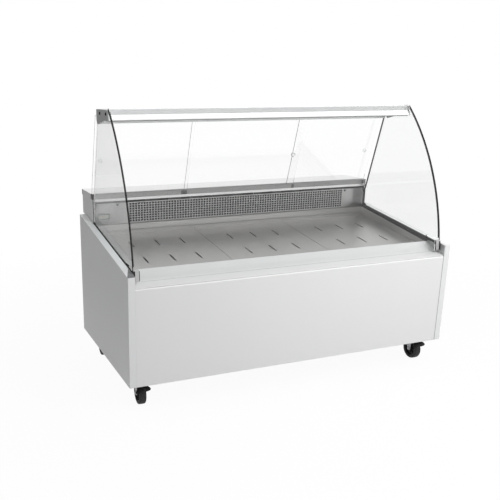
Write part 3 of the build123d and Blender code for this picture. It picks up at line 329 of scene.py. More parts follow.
def finish_surface(tree, shader, height, strength, distance, edge_radius):
    """Feed the normal from eased edges with a fine bump on top. Gives the edges' mask."""
    edge = use(tree, eased_edge, Radius=edge_radius)
    bump = put(tree, "Bump", Strength=strength, Distance=distance, Height=height, Normal=edge["Normal"])
    feed(tree, shader["Normal"], bump.outputs["Normal"])
    return edge["Mask"]


# %% [markdown]
# ## Finishes
# White panels are sprayed: nearly even in tone, a little wavy, with a clear coat. Stainless steel is brushed
# along its length, so its highlights smear across the grain. Aluminium is satin, zinc is mottled and worn
# bright at its edges, and the moulded parts have a fine texture.

# %% Paint, metal and moulding
# painted highlight: the light steel of the sill's lower lip, where light falls on it
LIP_HIGHLIGHT_STEEL = (0.80, 0.80, 0.80)


def sprayed_paint(name, colour, roughness, coat, joint_shade_from=None):
    """White lacquer. Given a distance, what lies further right is painted dark as the shade seen in the joint
    at the right end.
    """
    tree, shader = start_material(name, Coat_Weight=coat, Coat_Roughness=0.12)
    tone = use(tree, soft_patches, Scale=1.6)["Value"]
    painted = two_tones(tree, tone, colour, shade(colour, 0.985))
    # painted shade: a dark strip at the right end, where the side of the joint is seen in shade
    if joint_shade_from is not None:
        painted = marked_off(tree, painted, "X", "GREATER_THAN", joint_shade_from, shade(colour, 0.45))
    feed(tree, shader["Base Color"], painted)
    worn_gloss(tree, shader, roughness, scale=2.0, spread=0.02)
    peel = use(tree, paint_peel, Scale=420.0)["Height"]
    finish_surface(tree, shader, peel, strength=0.04, distance=0.001, edge_radius=0.0012)


def brushed_metal(name, colour, roughness, stretch=ALONG_X, depth=0.10, metal=1.0, highlight_below=None):
    """Steel brushed along one axis. Given a height, what lies lower is painted light as the highlight on a
    lit lower lip.
    """
    tree, shader = start_material(name, Metallic=metal)
    grain = use(tree, brushed_grain, Stretch=stretch)["Grain"]
    fine = two_tones(tree, grain, shade(colour, 0.92), shade(colour, 1.06))
    if highlight_below is not None:
        # painted highlight below the given height
        fine = marked_off(tree, fine, "Z", "LESS_THAN", highlight_below, LIP_HIGHLIGHT_STEEL)
    feed(tree, shader["Base Color"], fine)
    worn_gloss(tree, shader, roughness, scale=3.5, spread=0.05)
    finish_surface(tree, shader, grain, strength=depth, distance=0.0006, edge_radius=0.0008)


def mottled_metal(name, colour, roughness, scale, metal=1.0):
    """Metal with dull patches, rubbed bright at its edges."""
    tree, shader = start_material(name, Metallic=metal)
    tone = use(tree, soft_patches, Scale=scale)["Value"]
    dull = two_tones(tree, tone, shade(colour, 0.80), colour)
    edges = finish_surface(tree, shader, tone, strength=0.05, distance=0.0006, edge_radius=0.0012)
    feed(tree, shader["Base Color"], two_tones(tree, edges, dull, shade(colour, 1.25)))
    worn_gloss(tree, shader, roughness, scale=scale * 0.6, spread=0.08)


def moulded(name, colour, roughness, texture=900.0, depth=0.12, sheen=0.5, glow=0.0):
    """Plastic, rubber or enamel with a fine texture. With glow, light comes through it."""
    tree, shader = start_material(name, Specular_IOR_Level=sheen,
                                  Emission_Color=WHITE, Emission_Strength=glow)
    tone = use(tree, soft_patches, Scale=9.0)["Value"]
    feed(tree, shader["Base Color"], two_tones(tree, tone, shade(colour, 0.88), colour))
    worn_gloss(tree, shader, roughness, scale=14.0, spread=0.06)
    peel = use(tree, paint_peel, Scale=texture)["Height"]
    finish_surface(tree, shader, peel, strength=depth, distance=0.0005, edge_radius=0.0008)


# %% List of finishes
sprayed_paint("white_lacquer", (0.90, 0.905, 0.91), 0.34, 0.25)
sprayed_paint("white_sheet", (0.90, 0.905, 0.90), 0.30, 0.35)
# the dark strip at the right end is painted shade of the joint; the left end has none
sprayed_paint("white_front", (0.90, 0.905, 0.90), 0.30, 0.35, joint_shade_from=0.9575)
brushed_metal("stainless", (0.86, 0.86, 0.855), 0.36, depth=0.06)
brushed_metal("stainless_satin", (0.88, 0.88, 0.88), 0.50, depth=0.05, metal=0.3)
brushed_metal("stainless_duct", (0.90, 0.90, 0.90), 0.50, depth=0.05, metal=0.0)
# the sill's steel is painted dark as the dark reflection on its face, and light lower down as the highlight
# on its lip
brushed_metal("stainless_sill", (0.31, 0.31, 0.307), 0.36, highlight_below=1.0035)
brushed_metal("stainless_vent", (0.44, 0.44, 0.436), 0.36)
brushed_metal("stainless_well", (0.55, 0.545, 0.535), 0.38)
brushed_metal("aluminium", (0.76, 0.765, 0.77), 0.42, depth=0.05)
mottled_metal("zinc", (0.80, 0.81, 0.83), 0.40, 60.0, metal=0.25)
brushed_metal("coil", (0.60, 0.61, 0.62), 0.45, (700.0, 6.0, 6.0), 0.4)
mottled_metal("copper", (0.72, 0.40, 0.25), 0.32, 40.0)
moulded("grey_trim", (0.56, 0.565, 0.57), 0.46)
moulded("clamp_grey", (0.20, 0.205, 0.21), 0.36, 600.0, 0.06)
moulded("cap_grey", (0.56, 0.565, 0.57), 0.40, 600.0, 0.06)
brushed_metal("clamp_steel", (0.60, 0.60, 0.60), 0.45, depth=0.05, metal=0.5)
moulded("dark_trim", (0.014, 0.014, 0.015), 0.50, sheen=0.12)
moulded("black_plastic", (0.014, 0.014, 0.014), 0.42, sheen=0.35)
moulded("black_rubber", (0.022, 0.022, 0.022), 0.62, 1400.0, 0.3)
moulded("black_enamel", (0.020, 0.020, 0.022), 0.25, 300.0, 0.05)
moulded("foam", (0.80, 0.72, 0.48), 0.80, 700.0, 0.5)
moulded("opal", (0.90, 0.90, 0.90), 0.35, 500.0, 0.03)
moulded("lit_opal", (0.90, 0.90, 0.90), 0.35, 500.0, 0.03, glow=0.45)
moulded("pale_green", (0.47, 0.52, 0.44), 0.30, 500.0, 0.02)
moulded("spirit_red", (0.55, 0.05, 0.04), 0.30, 500.0, 0.02)
moulded("gauge_grey", (0.15, 0.17, 0.155), 0.40, 500.0, 0.05)
moulded("display_light", (0.85, 0.20, 0.05), 0.30, 500.0, 0.02, glow=0.2)
moulded("pilot_green", (0.10, 0.60, 0.16), 0.20, 500.0, 0.02)
moulded("stop_grey", (0.10, 0.10, 0.10), 0.45)
# painted shade: the fins are near black to stand for the shade behind the air panel's holes
moulded("shade_black_fins", (0.012, 0.012, 0.013), 0.60, sheen=0.1)
print(len(finish), "finishes")

# %% [markdown]
# ## Glass
# Clear glass is nearly invisible on a white ground: one sees its reflections, and a dark line where one
# looks into a ground edge. Real light goes through it into the well, so shadow rays pass it as if it were a
# clear film. The edges are found by the direction that a face looks in, which is the same from any view.

# %% Glass
CLEAR, GREY_CLEAR, CLEAR_PLASTIC = (0.994, 0.996, 0.995), (0.945, 0.949, 0.947), (0.90, 0.91, 0.91)
GLASS_INDEX, MOST_HAZE, FILM = 1.4, 0.015, (0.93, 0.94, 0.94, 1.0)
UPRIGHT, ENDS = ("LESS_THAN", 0.5), ("GREATER_THAN", 0.7)


def clear_glass(name, clear, edge_rule=None, edge_colour=None):
    """Clear glass that lets the lamps through, tinted only on the faces that are its edges."""
    tree, shader = start_material(name, Transmission_Weight=1.0, IOR=GLASS_INDEX)
    tint = (*clear, 1.0)
    if edge_rule:
        split = put(tree, "SeparateXYZ", Vector=put(tree, "TexCoord").outputs["Normal"])
        test, limit = edge_rule
        edge = maths(tree, test, maths(tree, "ABSOLUTE", split.outputs["X"]), limit)
        tint = two_tones(tree, edge, clear, edge_colour)
    feed(tree, shader["Base Color"], tint)
    haze = use(tree, soft_patches, Scale=5.0, Low=0.0, High=MOST_HAZE)
    feed(tree, shader["Roughness"], haze["Value"])
    rays = put(tree, "LightPath").outputs
    passing = maths(tree, "MAXIMUM", rays["Is Shadow Ray"], rays["Is Diffuse Ray"])
    film = put(tree, "BsdfTransparent", Color=FILM)
    both = mix_shaders(tree, passing, tree.nodes["Principled BSDF"], film)
    feed(tree, tree.nodes["Material Output"].inputs["Surface"], both.outputs[0])


clear_glass("front_glass", CLEAR, ENDS, (0.004, 0.0045, 0.0045))
clear_glass("side_glass", GREY_CLEAR, UPRIGHT, (0.60, 0.63, 0.62))
clear_glass("pane_glass", CLEAR, ENDS, (0.14, 0.16, 0.155))
clear_glass("clear_plastic", CLEAR_PLASTIC)
print("three kinds of glass and a clear plastic")

# %% [markdown]
# ## Finishes on the CAD nodes
# Sheet, tube and glass already have their true shape in the CAD model, so those nodes stay and only take a
# finish. The list below is the paint shop's work sheet: a finish, then the nodes that wear it.

# %% Finishes on the CAD nodes
CORNERS = ("front_left", "front_right", "rear_left", "rear_right")
BRAKED = ("front_left", "front_right")
PANES = ("left", "middle", "right")
SIDES = {"left": -1.0, "right": 1.0}


def each(start, ends):
    return [start + end for end in ends]


wearing = {
    "white_lacquer": each("end_panel_", SIDES),
    "white_sheet": ["rear_panel", "rear_grille"],
    "white_front": ["front_panel"],
    "stainless": ["worktop"],
    "stainless_satin": ["front_rail"],
    "cap_grey": each("rail_cap_", SIDES),
    "stainless_duct": ["rear_duct"],
    "stainless_sill": ["door_sill_track"],
    "stainless_vent": ["air_panel"],
    "stainless_well": ["well_tub", *each("deck_tray_", PANES)],
    "aluminium": ["canopy", "door_head_track"],
    "zinc": ["base_frame", "floor_tray", "fan_shroud", "castor_plates", *each("castor_fork_", CORNERS)],
    "coil": ["condenser", "evaporator"],
    "copper": ["copper_lines"],
    "grey_trim": ["drain_pipe", *each("canopy_bracket_", SIDES)],
    "clamp_steel": ["glass_clamps"],
    "dark_trim": ["screws", *each("side_channel_", SIDES)],
    "black_plastic": ["control_panel", "power_switch", "condenser_fan", *each("brake_pedal_", BRAKED)],
    "black_enamel": ["compressor"],
    "foam": ["well_insulation"],
    "lit_opal": ["lamp"],
    "opal": ["thermometer", *each("pane_knob_", PANES)],
    "front_glass": ["front_glass"],
    "side_glass": each("side_glass_", SIDES),
    "pane_glass": each("rear_pane_", PANES),
    "black_rubber": each("castor_wheel_", CORNERS),
}
for look, worn_by in wearing.items():
    for node in worn_by:
        nodes[node].data.materials.clear()
        nodes[node].data.materials.append(finish[look])
bare = sorted(set(nodes) - {node for worn_by in wearing.values() for node in worn_by})
print("nodes with no finish:", bare)

# %% [markdown]
# ## How the pieces are made
# Where the CAD model keeps a shape plain, a piece takes its place. Most pieces here come from one of three
# workshop moves: turning a profile on a lathe, pushing an outline through a thickness, and sweeping a small
# section along a path. Each move writes into a bmesh, and one helper turns the bmesh into a piece that rides
# on its body, wears a finish and hides the node it stands for.

# %% Workshop units
MM = 0.001
IN_MM = Matrix.Scale(MM, 4)
FRONT_FACE = 526.0
WORKSHOP = Matrix.Translation((0.0, -FRONT_FACE * MM, 0.0)) @ IN_MM
SWAP_XY = Matrix(((0, 1, 0, 0), (1, 0, 0, 0), (0, 0, 1, 0), (0, 0, 0, 1)))
SWAP_YZ = Matrix(((1, 0, 0, 0), (0, 0, 1, 0), (0, 1, 0, 0), (0, 0, 0, 1)))
ALONG_CASE = WORKSHOP @ SWAP_XY
print("one workshop unit is", MM, "m, counted back from the front panel's face")

# %% Piece helpers
SAME_POINT = 1e-6
SHARP_FROM, EASED_FROM = math.radians(35), math.radians(40)


def make_piece(name, mesh, body, look, slot, *replaced):
    """Turn a bmesh into a piece that rides on a body and wears a finish."""
    bmesh.ops.remove_doubles(mesh, verts=mesh.verts, dist=SAME_POINT)
    bmesh.ops.recalc_face_normals(mesh, faces=mesh.faces)
    data = bpy.data.meshes.new(name)
    mesh.to_mesh(data)
    mesh.free()
    data.shade_smooth()
    data.set_sharp_from_angle(angle=SHARP_FROM)
    data.materials.append(finish[look])
    piece = bpy.data.objects.new(name, data)
    scene.collection.objects.link(piece)
    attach(piece, body)
    if replaced:
        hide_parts(*replaced)
    return piece


def ease(piece, width):
    """Break sharp edges with a small bevel, as a file would."""
    bevel = piece.modifiers.new("eased", "BEVEL")
    bevel.limit_method = "ANGLE"
    bevel.angle_limit = EASED_FROM
    bevel.width = width * MM
    bevel.segments = 2


def thicken(piece, sheet):
    """Give a surface the thickness of its sheet, behind its face."""
    solid = piece.modifiers.new("sheet", "SOLIDIFY")
    solid.thickness = sheet * MM
    solid.offset = -1.0


# %% Workshop moves
def lathe(mesh, profile, place, sides, ring=False):
    """Turn a profile of (radius, height) points round the place's upright axis."""
    rows = []
    for step in range(sides):
        turn = 2 * math.pi * step / sides
        across, along = math.cos(turn), math.sin(turn)
        rows.append([mesh.verts.new(place @ Vector((r * across, r * along, h))) for r, h in profile])
    spans = len(profile) if ring else len(profile) - 1
    for step in range(sides):
        here, there = rows[step], rows[(step + 1) % sides]
        for k in range(spans):
            n = (k + 1) % len(profile)
            mesh.faces.new((here[k], there[k], there[n], here[n]))


def skin(mesh, loops):
    """Join each loop to the next one. All have the same number of points."""
    for here, there in zip(loops, loops[1:]):
        for k in range(len(here)):
            n = (k + 1) % len(here)
            mesh.faces.new((here[k], here[n], there[n], there[k]))


def close_loops(mesh, loops):
    """Skin a row of loops and cap both ends."""
    skin(mesh, loops)
    mesh.faces.new(loops[0])
    mesh.faces.new(loops[-1][::-1])


def slab(mesh, outline, low, high, place=WORKSHOP):
    """Push an outline of (x, z) points from low to high along the place's second axis."""
    close_loops(mesh, [[mesh.verts.new(place @ Vector((x, y, z))) for x, z in outline] for y in (low, high)])


def cut(name, outlines, low, high, look, slot, *replaced, body="case", place=WORKSHOP, edge=None):
    """Make a piece of slabs, and break its edges if a width is given for that."""
    mesh = bmesh.new()
    for outline in outlines:
        slab(mesh, outline, low, high, place)
    piece = make_piece(name, mesh, body, look, slot, *replaced)
    if edge:
        ease(piece, edge)


def sweep(mesh, path, section, place):
    """Sweep a section of (side, out) points along a path of (x, z) points, with mitred bends."""
    loops = []
    for k, point in enumerate(path):
        here = Vector(point)
        before = (here - Vector(path[k - 1])).normalized() if k else None
        after = (Vector(path[k + 1]) - here).normalized() if k + 1 < len(path) else before
        before = before or after
        along = (before + after).normalized()
        out = Vector((-along.y, along.x)) / along.dot(after)
        spots = [(here + out * away, side) for side, away in section]
        loops.append([mesh.verts.new(place @ Vector((spot.x, side, spot.y))) for spot, side in spots])
    close_loops(mesh, loops)


def rounded(width, height, radius, steps=4, x=0.0, z=0.0):
    """Outline of a rectangle with round corners, about the point (x, z)."""
    points = []
    for quarter, (sx, sz) in enumerate(((1, 1), (-1, 1), (-1, -1), (1, -1))):
        cx, cz = sx * (width / 2 - radius), sz * (height / 2 - radius)
        for step in range(steps + 1):
            turn = math.pi / 2 * (quarter + step / steps)
            points.append((cx + radius * math.cos(turn) + x, cz + radius * math.sin(turn) + z))
    return points


# %% [markdown]
# ## Castors
# A castor is a rubber tyre on a ribbed plastic wheel, in a fork that is pressed from zinc plated sheet. The
# fork turns on a ball race under a screwed-on plate. All four are alike, so each is built once in a place of
# its own: the first axis runs from the swivel towards the wheel, the second along the axle. The packed
# joints give that place, so the wheels sit exactly on their hinges.

# %% Castor places
joints = {joint["name"]: joint for joint in frame["record"]["behaviour"]["joints"]}


def castor_place(corner):
    """Floor point under a castor's swivel, with its own axes."""
    across, up = Vector(joints["roll_" + corner]["axis"]).normalized(), Vector((0.0, 0.0, 1.0))
    foot = Vector(joints["swivel_" + corner]["pos_m"])
    foot.z = 0.0
    turn = Matrix((across.cross(up), across, up)).transposed().to_4x4()
    return Matrix.Translation(foot) @ turn @ IN_MM


def on_axle(place, x, z):
    """Place for turning a piece about a cross axis of the castor."""
    return place @ Matrix.Translation((x, 0.0, z)) @ Matrix.Rotation(math.radians(-90), 4, "X")


print("castors at", [tuple(round(v, 3) for v in castor_place(c).translation) for c in CORNERS])

# %% Tyres and wheel discs
TRAIL, WHEEL_RADIUS = 38.0, 62.5
TYRE_SIDE = [(45.0, -17.0), (47.0, -19.3), (54.0, -20.0), (59.5, -18.4), (61.9, -15.0), (62.5, -11.0)]
DISC_SIDE = [
    (7.0, -19.6), (13.5, -19.6), (15.0, -18.2), (16.4, -9.0), (39.5, -9.0), (41.5, -16.4), (45.3, -16.8),
]
RIBS, RIB_HALF, RIB = 8, 1.5, [(14.5, -15.5), (41.8, -14.0), (41.8, 14.0), (14.5, 15.5)]


def mirrored(side):
    return side + [(r, -h) for r, h in reversed(side)]


for corner in CORNERS:
    wheel = "wheel_" + corner
    axle = on_axle(castor_place(corner), TRAIL, WHEEL_RADIUS)
    tyre = bmesh.new()
    lathe(tyre, mirrored(TYRE_SIDE), axle, 96, ring=True)
    make_piece("tyre_" + corner, tyre, wheel, "black_rubber", "black_rubber", "castor_" + wheel)
    disc = bmesh.new()
    lathe(disc, mirrored(DISC_SIDE), axle, 64, ring=True)
    for rib in range(RIBS):
        slab(disc, RIB, -RIB_HALF, RIB_HALF, axle @ Matrix.Rotation(2 * math.pi * rib / RIBS, 4, "Z"))
    ease(make_piece("wheel_disc_" + corner, disc, wheel, "black_plastic", "black_plastic"), 0.5)
print(len(CORNERS), "wheels of", 2 * WHEEL_RADIUS, "mm")

# %% [markdown]
# The fork's legs are broad at the crown and narrow to a round end at the axle. The braked forks reach
# further forward, where they carry the pedal's pin. The race is two dished rings with a gap between them.

# %% Forks
CROWN_LOW, CROWN_TOP, HEAD_TOP = 132.7, 137.7, 151.7
CROWN_LONG, CROWN_CORNER, CROWN_BACK = 54.0, 9.0, -26.0
LEG_INNER, LEG_OUTER = 20.7, 23.7
AXLE_EYE, EYE_TURNS = 12.0, range(12, -193, -17)
EAR_REACH, EAR_DEEP, BACK_DEEP = {True: 58.0, False: 38.0}, 13.0, 11.0
PEDAL_AXIS = (52.0, 131.7)
RACE = [(0.0, 137.2), (32.0, 137.2), (33.0, 139.5), (31.0, 142.6), (27.5, 144.0), (26.6, 144.6)]
RACE += [(27.5, 145.2), (31.5, 146.4), (34.0, 148.8), (34.0, HEAD_TOP), (0.0, HEAD_TOP)]
KING_NUT = [(0.0, 127.6), (8.0, 127.6), (9.4, 128.6), (9.4, 132.9), (0.0, 132.9)]
WASHER = [(0.0, 23.5), (11.5, 23.5), (11.5, 25.0), (0.0, 25.0)]
BOLT_HEAD = [(0.0, 24.8), (9.2, 24.8), (9.2, 28.6), (8.0, 29.8), (0.0, 29.8)]
RIVET = [(0.0, 23.5), (5.2, 23.5), (5.0, 25.0), (3.6, 26.2), (0.0, 26.6)]
FLIP_UP = Matrix.Rotation(math.pi, 4, "X")


def leg_outline(ear):
    """Side of one fork leg, from the crown down round the axle's eye."""
    eye = []
    for turn in map(math.radians, EYE_TURNS):
        eye.append((TRAIL + AXLE_EYE * math.cos(turn), WHEEL_RADIUS + AXLE_EYE * math.sin(turn)))
    top = [(CROWN_BACK, CROWN_TOP), (ear, CROWN_TOP), (ear, CROWN_TOP - EAR_DEEP)]
    return [*top, *eye, (CROWN_BACK, CROWN_TOP - BACK_DEEP)]


for corner in CORNERS:
    place = castor_place(corner)
    braked = corner in BRAKED
    fork = bmesh.new()
    for low, high in ((LEG_INNER, LEG_OUTER), (-LEG_OUTER, -LEG_INNER)):
        slab(fork, leg_outline(EAR_REACH[braked]), low, high, place)
    crown = rounded(CROWN_LONG, 2 * LEG_OUTER - 1.0, CROWN_CORNER)
    slab(fork, crown, CROWN_LOW, CROWN_TOP - 0.3, place @ SWAP_YZ)
    lathe(fork, RACE, place, 40)
    lathe(fork, KING_NUT, place, 6)
    fixings = [(TRAIL, WHEEL_RADIUS, WASHER, 28), (TRAIL, WHEEL_RADIUS, BOLT_HEAD, 6)]
    if braked:
        fixings.append((*PEDAL_AXIS, RIVET, 20))
    for x, z, profile, sides in fixings:
        for end in (Matrix(), FLIP_UP):
            lathe(fork, profile, on_axle(place, x, z) @ end, sides)
    name = "fork_" + corner
    ease(make_piece(name, fork, name, "zinc", "galvanised", "castor_" + name), 0.7)
print("forks with legs", LEG_OUTER - LEG_INNER, "mm thick")

# %% [markdown]
# The brake pedal is a moulded paddle, wider than the wheel, that slopes down over the tread. It is drawn as
# a grid of points over its length and width and then thickened, because a soft hood like this is easier to
# write as a surface than to cut out of a block.

# %% Paddle's shape
PEDAL_ROOT, PEDAL_NECK, PEDAL_BROAD, PEDAL_TIP = 47.0, 90.0, 101.0, 114.0
NECK_HALF, HOOD_HALF, SHOULDER, TIP_ROUND = 11.0, 43.0, 1.5, 0.95
LEAN, LEAN_FROM, LEAN_OVER = 0.12, 50.0, 20.0
HOOD_TOP, HOOD_DROP, HOOD_BEND = 139.4, 42.0, 2.5
FALL_LEFT, FALL_RIGHT = 16.5, 13.0


def paddle_point(along, across):
    """Point on top of the paddle: along from 0 to 1, across from -1 to 1."""
    x = PEDAL_ROOT + (PEDAL_TIP - PEDAL_ROOT) * along
    if x < PEDAL_NECK:
        half = NECK_HALF
    elif x < PEDAL_BROAD:
        short = (PEDAL_BROAD - x) / (PEDAL_BROAD - PEDAL_NECK)
        half = NECK_HALF + (HOOD_HALF - NECK_HALF) * (1.0 - short**SHOULDER) ** (1.0 / SHOULDER)
    else:
        half = HOOD_HALF * math.sqrt(1.0 - TIP_ROUND * ((x - PEDAL_BROAD) / (PEDAL_TIP - PEDAL_BROAD)) ** 2)
    y = half * across
    lean = LEAN * y * min(1.0, max(0.0, (x - LEAN_FROM) / LEAN_OVER))
    fall = FALL_LEFT if y < 0.0 else FALL_RIGHT
    return Vector((x, y, HOOD_TOP - HOOD_DROP * along**HOOD_BEND - fall * (y / HOOD_HALF) ** 2 + lean))


# %% Brake pedals
ROWS, COLUMNS = 30, 16
HOOD_SHEET = 3.2
PEDAL_SLEEVE = [(3.4, -19.6), (7.2, -19.6), (7.2, 19.6), (3.4, 19.6)]
for corner in BRAKED:
    pedal = "pedal_" + corner
    place = castor_place(corner)
    hood = bmesh.new()
    grid = []
    for row in range(ROWS + 1):
        line = [paddle_point(row / ROWS, 2.0 * k / COLUMNS - 1.0) for k in range(COLUMNS + 1)]
        grid.append([hood.verts.new(place @ point) for point in line])
    for here, there in zip(grid, grid[1:]):
        for k in range(COLUMNS):
            hood.faces.new((here[k], there[k], there[k + 1], here[k + 1]))
    piece = make_piece("paddle_" + corner, hood, pedal, "black_plastic", "black_plastic", "brake_" + pedal)
    if any(face.normal.z < 0.0 for face in piece.data.polygons):
        piece.data.flip_normals()
    thicken(piece, HOOD_SHEET)
    soften = piece.modifiers.new("soften", "SUBSURF")
    soften.levels = soften.render_levels = 1
    sleeve = bmesh.new()
    lathe(sleeve, PEDAL_SLEEVE, on_axle(place, *PEDAL_AXIS), 28, ring=True)
    ease(make_piece("pedal_sleeve_" + corner, sleeve, pedal, "black_plastic", "black_plastic"), 0.6)
print(len(BRAKED), "pedals, each over its wheel")

# %% [markdown]
# Each castor plate is held to the base frame by four bolts. Their heads show under the plate.

# %% Castor bolts
PLATE_BOLT = [(0.0, 152.2), (7.0, 152.2), (7.0, 148.6), (6.0, 147.6), (0.0, 147.6)]
BOLT_X, BOLT_Y = (-38.0, 38.0), (-31.0, 31.0)
bolts = bmesh.new()
for corner in CORNERS:
    middle = Matrix.Translation(castor_place(corner).translation) @ IN_MM
    for x in BOLT_X:
        for y in BOLT_Y:
            lathe(bolts, PLATE_BOLT, middle @ Matrix.Translation((x, y, 0.0)), 6)
ease(make_piece("castor_bolts", bolts, "case", "zinc", "galvanised"), 0.4)
print(len(CORNERS) * len(BOLT_X) * len(BOLT_Y), "bolt heads")

# %% [markdown]
# ## Perforated air panel
# Cold air leaves the cooler through a sheet with many small square holes. Cutting some hundreds of holes with
# booleans is slow and leaves a poor mesh, so the sheet is woven: every cell of a grid gets a ring of points
# for its hole, neighbouring cells share their corner points, and a Solidify modifier gives the sheet its
# thickness.

# %% Perforated air panel
PANEL_X, PANEL_Z, PANEL_FACE, PANEL_SHEET = (-943.7, 943.7), (846.0, 978.0), 795.0, 1.5
HOLE_COLUMNS, HOLE_ROWS, PITCH_X, PITCH_Z = 84, 8, 18.0, 14.5
HOLES_LEFT, HOLES_LOW = -737.5, 857.0
HOLE_X, HOLE_Z, HOLE_CORNER = 12.2, 10.2, 1.6
lines_x = [PANEL_X[0], *(HOLES_LEFT + PITCH_X * k for k in range(HOLE_COLUMNS + 1)), PANEL_X[1]]
lines_z = [PANEL_Z[0], *(HOLES_LOW + PITCH_Z * k for k in range(HOLE_ROWS + 1)), PANEL_Z[1]]
ring_shape = rounded(HOLE_X, HOLE_Z, HOLE_CORNER, 2)
woven = bmesh.new()


def knot(x, z):
    return woven.verts.new(WORKSHOP @ Vector((x, PANEL_FACE, z)))


knots = [[knot(x, z) for z in lines_z] for x in lines_x]
for i in range(len(lines_x) - 1):
    for j in range(len(lines_z) - 1):
        ends = (knots[i + 1][j + 1], knots[i][j + 1], knots[i][j], knots[i + 1][j])
        if not (1 <= i <= HOLE_COLUMNS and 1 <= j <= HOLE_ROWS):
            woven.faces.new(ends)
            continue
        middle_x, middle_z = (lines_x[i] + lines_x[i + 1]) / 2, (lines_z[j] + lines_z[j + 1]) / 2
        hole = [knot(middle_x + x, middle_z + z) for x, z in ring_shape]
        for k in range(4):
            first, second, third = hole[3 * k : 3 * k + 3]
            following = hole[(3 * k + 3) % 12]
            woven.faces.new((ends[k], second, first))
            woven.faces.new((ends[k], third, second))
            woven.faces.new((ends[k], ends[(k + 1) % 4], following, third))
panel = make_piece("perforated_panel", woven, "case", "stainless_vent", "stainless", "air_panel")
if panel.data.polygons[0].normal.y > 0.0:
    panel.data.flip_normals()
thicken(panel, PANEL_SHEET)
print(HOLE_COLUMNS * HOLE_ROWS, "holes in the air panel")

# %% [markdown]
# Behind the holes stands the cooler's fin pack. It is drawn as one pleated sheet, which is all that can be
# seen of it, painted near black as the shade inside the cooler, so the holes show dark.

# %% Fin pack
FIN_X, FIN_Z, FIN_DEPTH, FIN_PITCH, FIN_SHEET = 930.0, (851.0, 975.0), (812.0, 834.0), 6.0, 0.4
fins = bmesh.new()
folds = []
for k in range(int(2 * FIN_X / FIN_PITCH) * 2 + 1):
    x = -FIN_X + k * FIN_PITCH / 2
    folds.append([fins.verts.new(WORKSHOP @ Vector((x, FIN_DEPTH[k % 2], z))) for z in FIN_Z])
for here, there in zip(folds, folds[1:]):
    fins.faces.new((here[0], there[0], there[1], here[1]))
thicken(make_piece("fin_pack", fins, "case", "shade_black_fins", "coil"), FIN_SHEET)
print(len(folds), "folds in the fin pack")

# %% [markdown]
# ## Screws
# The screws that show have low round heads with a driver recess. Dark ones hold the canopy's end brackets and
# the air panel; plated ones hold the rear panel, the grille and the control panel.

# %% Screws
SCREW = [(0.0, 0.9), (2.4, 0.9), (2.7, 2.3), (4.2, 2.2), (5.4, 1.6), (6.0, 0.7), (6.0, -0.3), (0.0, -0.3)]
BRACKET_SIZE, VENT_SIZE, SMALL = 1.45, 1.2, 0.72
BRACKET_FACE = 963.3
QUARTER = math.radians(90)
TURN = {
    "left": Matrix.Rotation(-QUARTER, 4, "Y"),
    "right": Matrix.Rotation(QUARTER, 4, "Y"),
    "front": Matrix.Rotation(QUARTER, 4, "X"),
    "rear": Matrix.Rotation(-QUARTER, 4, "X"),
}


def drive_screws(mesh, facing, spots, scale):
    """Put a screw head at each spot, turned to face one way."""
    for spot in spots:
        lathe(mesh, SCREW, WORKSHOP @ Matrix.Translation(spot) @ TURN[facing] @ Matrix.Scale(scale, 4), 24)


dark_screws = bmesh.new()
for side, sign in SIDES.items():
    x = sign * BRACKET_FACE
    drive_screws(dark_screws, side, [(x, 569.0, 1506.0), (x, 451.0, 1506.0)], BRACKET_SIZE)
drive_screws(dark_screws, "front", [(x, PANEL_FACE, 966.0) for x in (-803.0, 794.0)], VENT_SIZE)
make_piece("dark_screws", dark_screws, "case", "dark_trim", "dark_trim", "screws")
plated_screws = bmesh.new()
for spots_x, face, spots_z, scale in (
    ((-940.0, 940.0), 966.0, (190.0, 520.0, 840.0), 1.0),
    ((539.0, 887.0), 967.5, (203.0, 452.0), SMALL),
    ((-747.0, -533.0), 1050.0, (927.0, 983.0), SMALL),
):
    drive_screws(plated_screws, "rear", [(x, face, z) for x in spots_x for z in spots_z], scale)
make_piece("plated_screws", plated_screws, "case", "zinc", "galvanised")
print("screw heads made")

# %% [markdown]
# ## Finger knobs
# Each rear pane is slid by a small round knob with a dished face. A lathe profile gives the dish and the
# undercut that a finger pulls on. The knobs lean with the panes.

# %% Finger knobs
PANE_LEAN = math.radians(16.5)
KNOB_HEIGHT = 11.0
KNOB = [(0.0, 7.4), (4.0, 7.6), (8.0, 8.8), (10.6, 10.6), (12.2, 11.0), (13.5, 10.3), (14.0, 8.8)]
KNOB += [(13.4, 6.0), (11.8, 3.4), (11.2, 1.4), (11.6, 0.0), (0.0, 0.0)]
FACING_REAR = {"left": 1.0, "middle": -1.0, "right": 1.0}
for side in PANES:
    low, high = (Vector(corner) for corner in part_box("pane_knob_" + side))
    outward = FACING_REAR[side] * Vector((0.0, math.cos(PANE_LEAN), math.sin(PANE_LEAN)))
    lean = outward.to_track_quat("Z", "Y").to_matrix().to_4x4()
    foot = (low + high) / 2 - outward * (KNOB_HEIGHT / 2 * MM)
    knob = bmesh.new()
    lathe(knob, KNOB, Matrix.Translation(foot) @ lean @ IN_MM, 40)
    make_piece("finger_knob_" + side, knob, "pane_" + side, "clear_plastic", "grey_trim", "pane_knob_" + side)
print(len(PANES), "finger knobs")

# %% [markdown]
# ## Thermometer
# A small stick-on thermometer sits on the blank left end of the air panel: a moulded frame, a pale scale
# behind it, a red column and short division marks. The parts are thin slabs set behind each other.

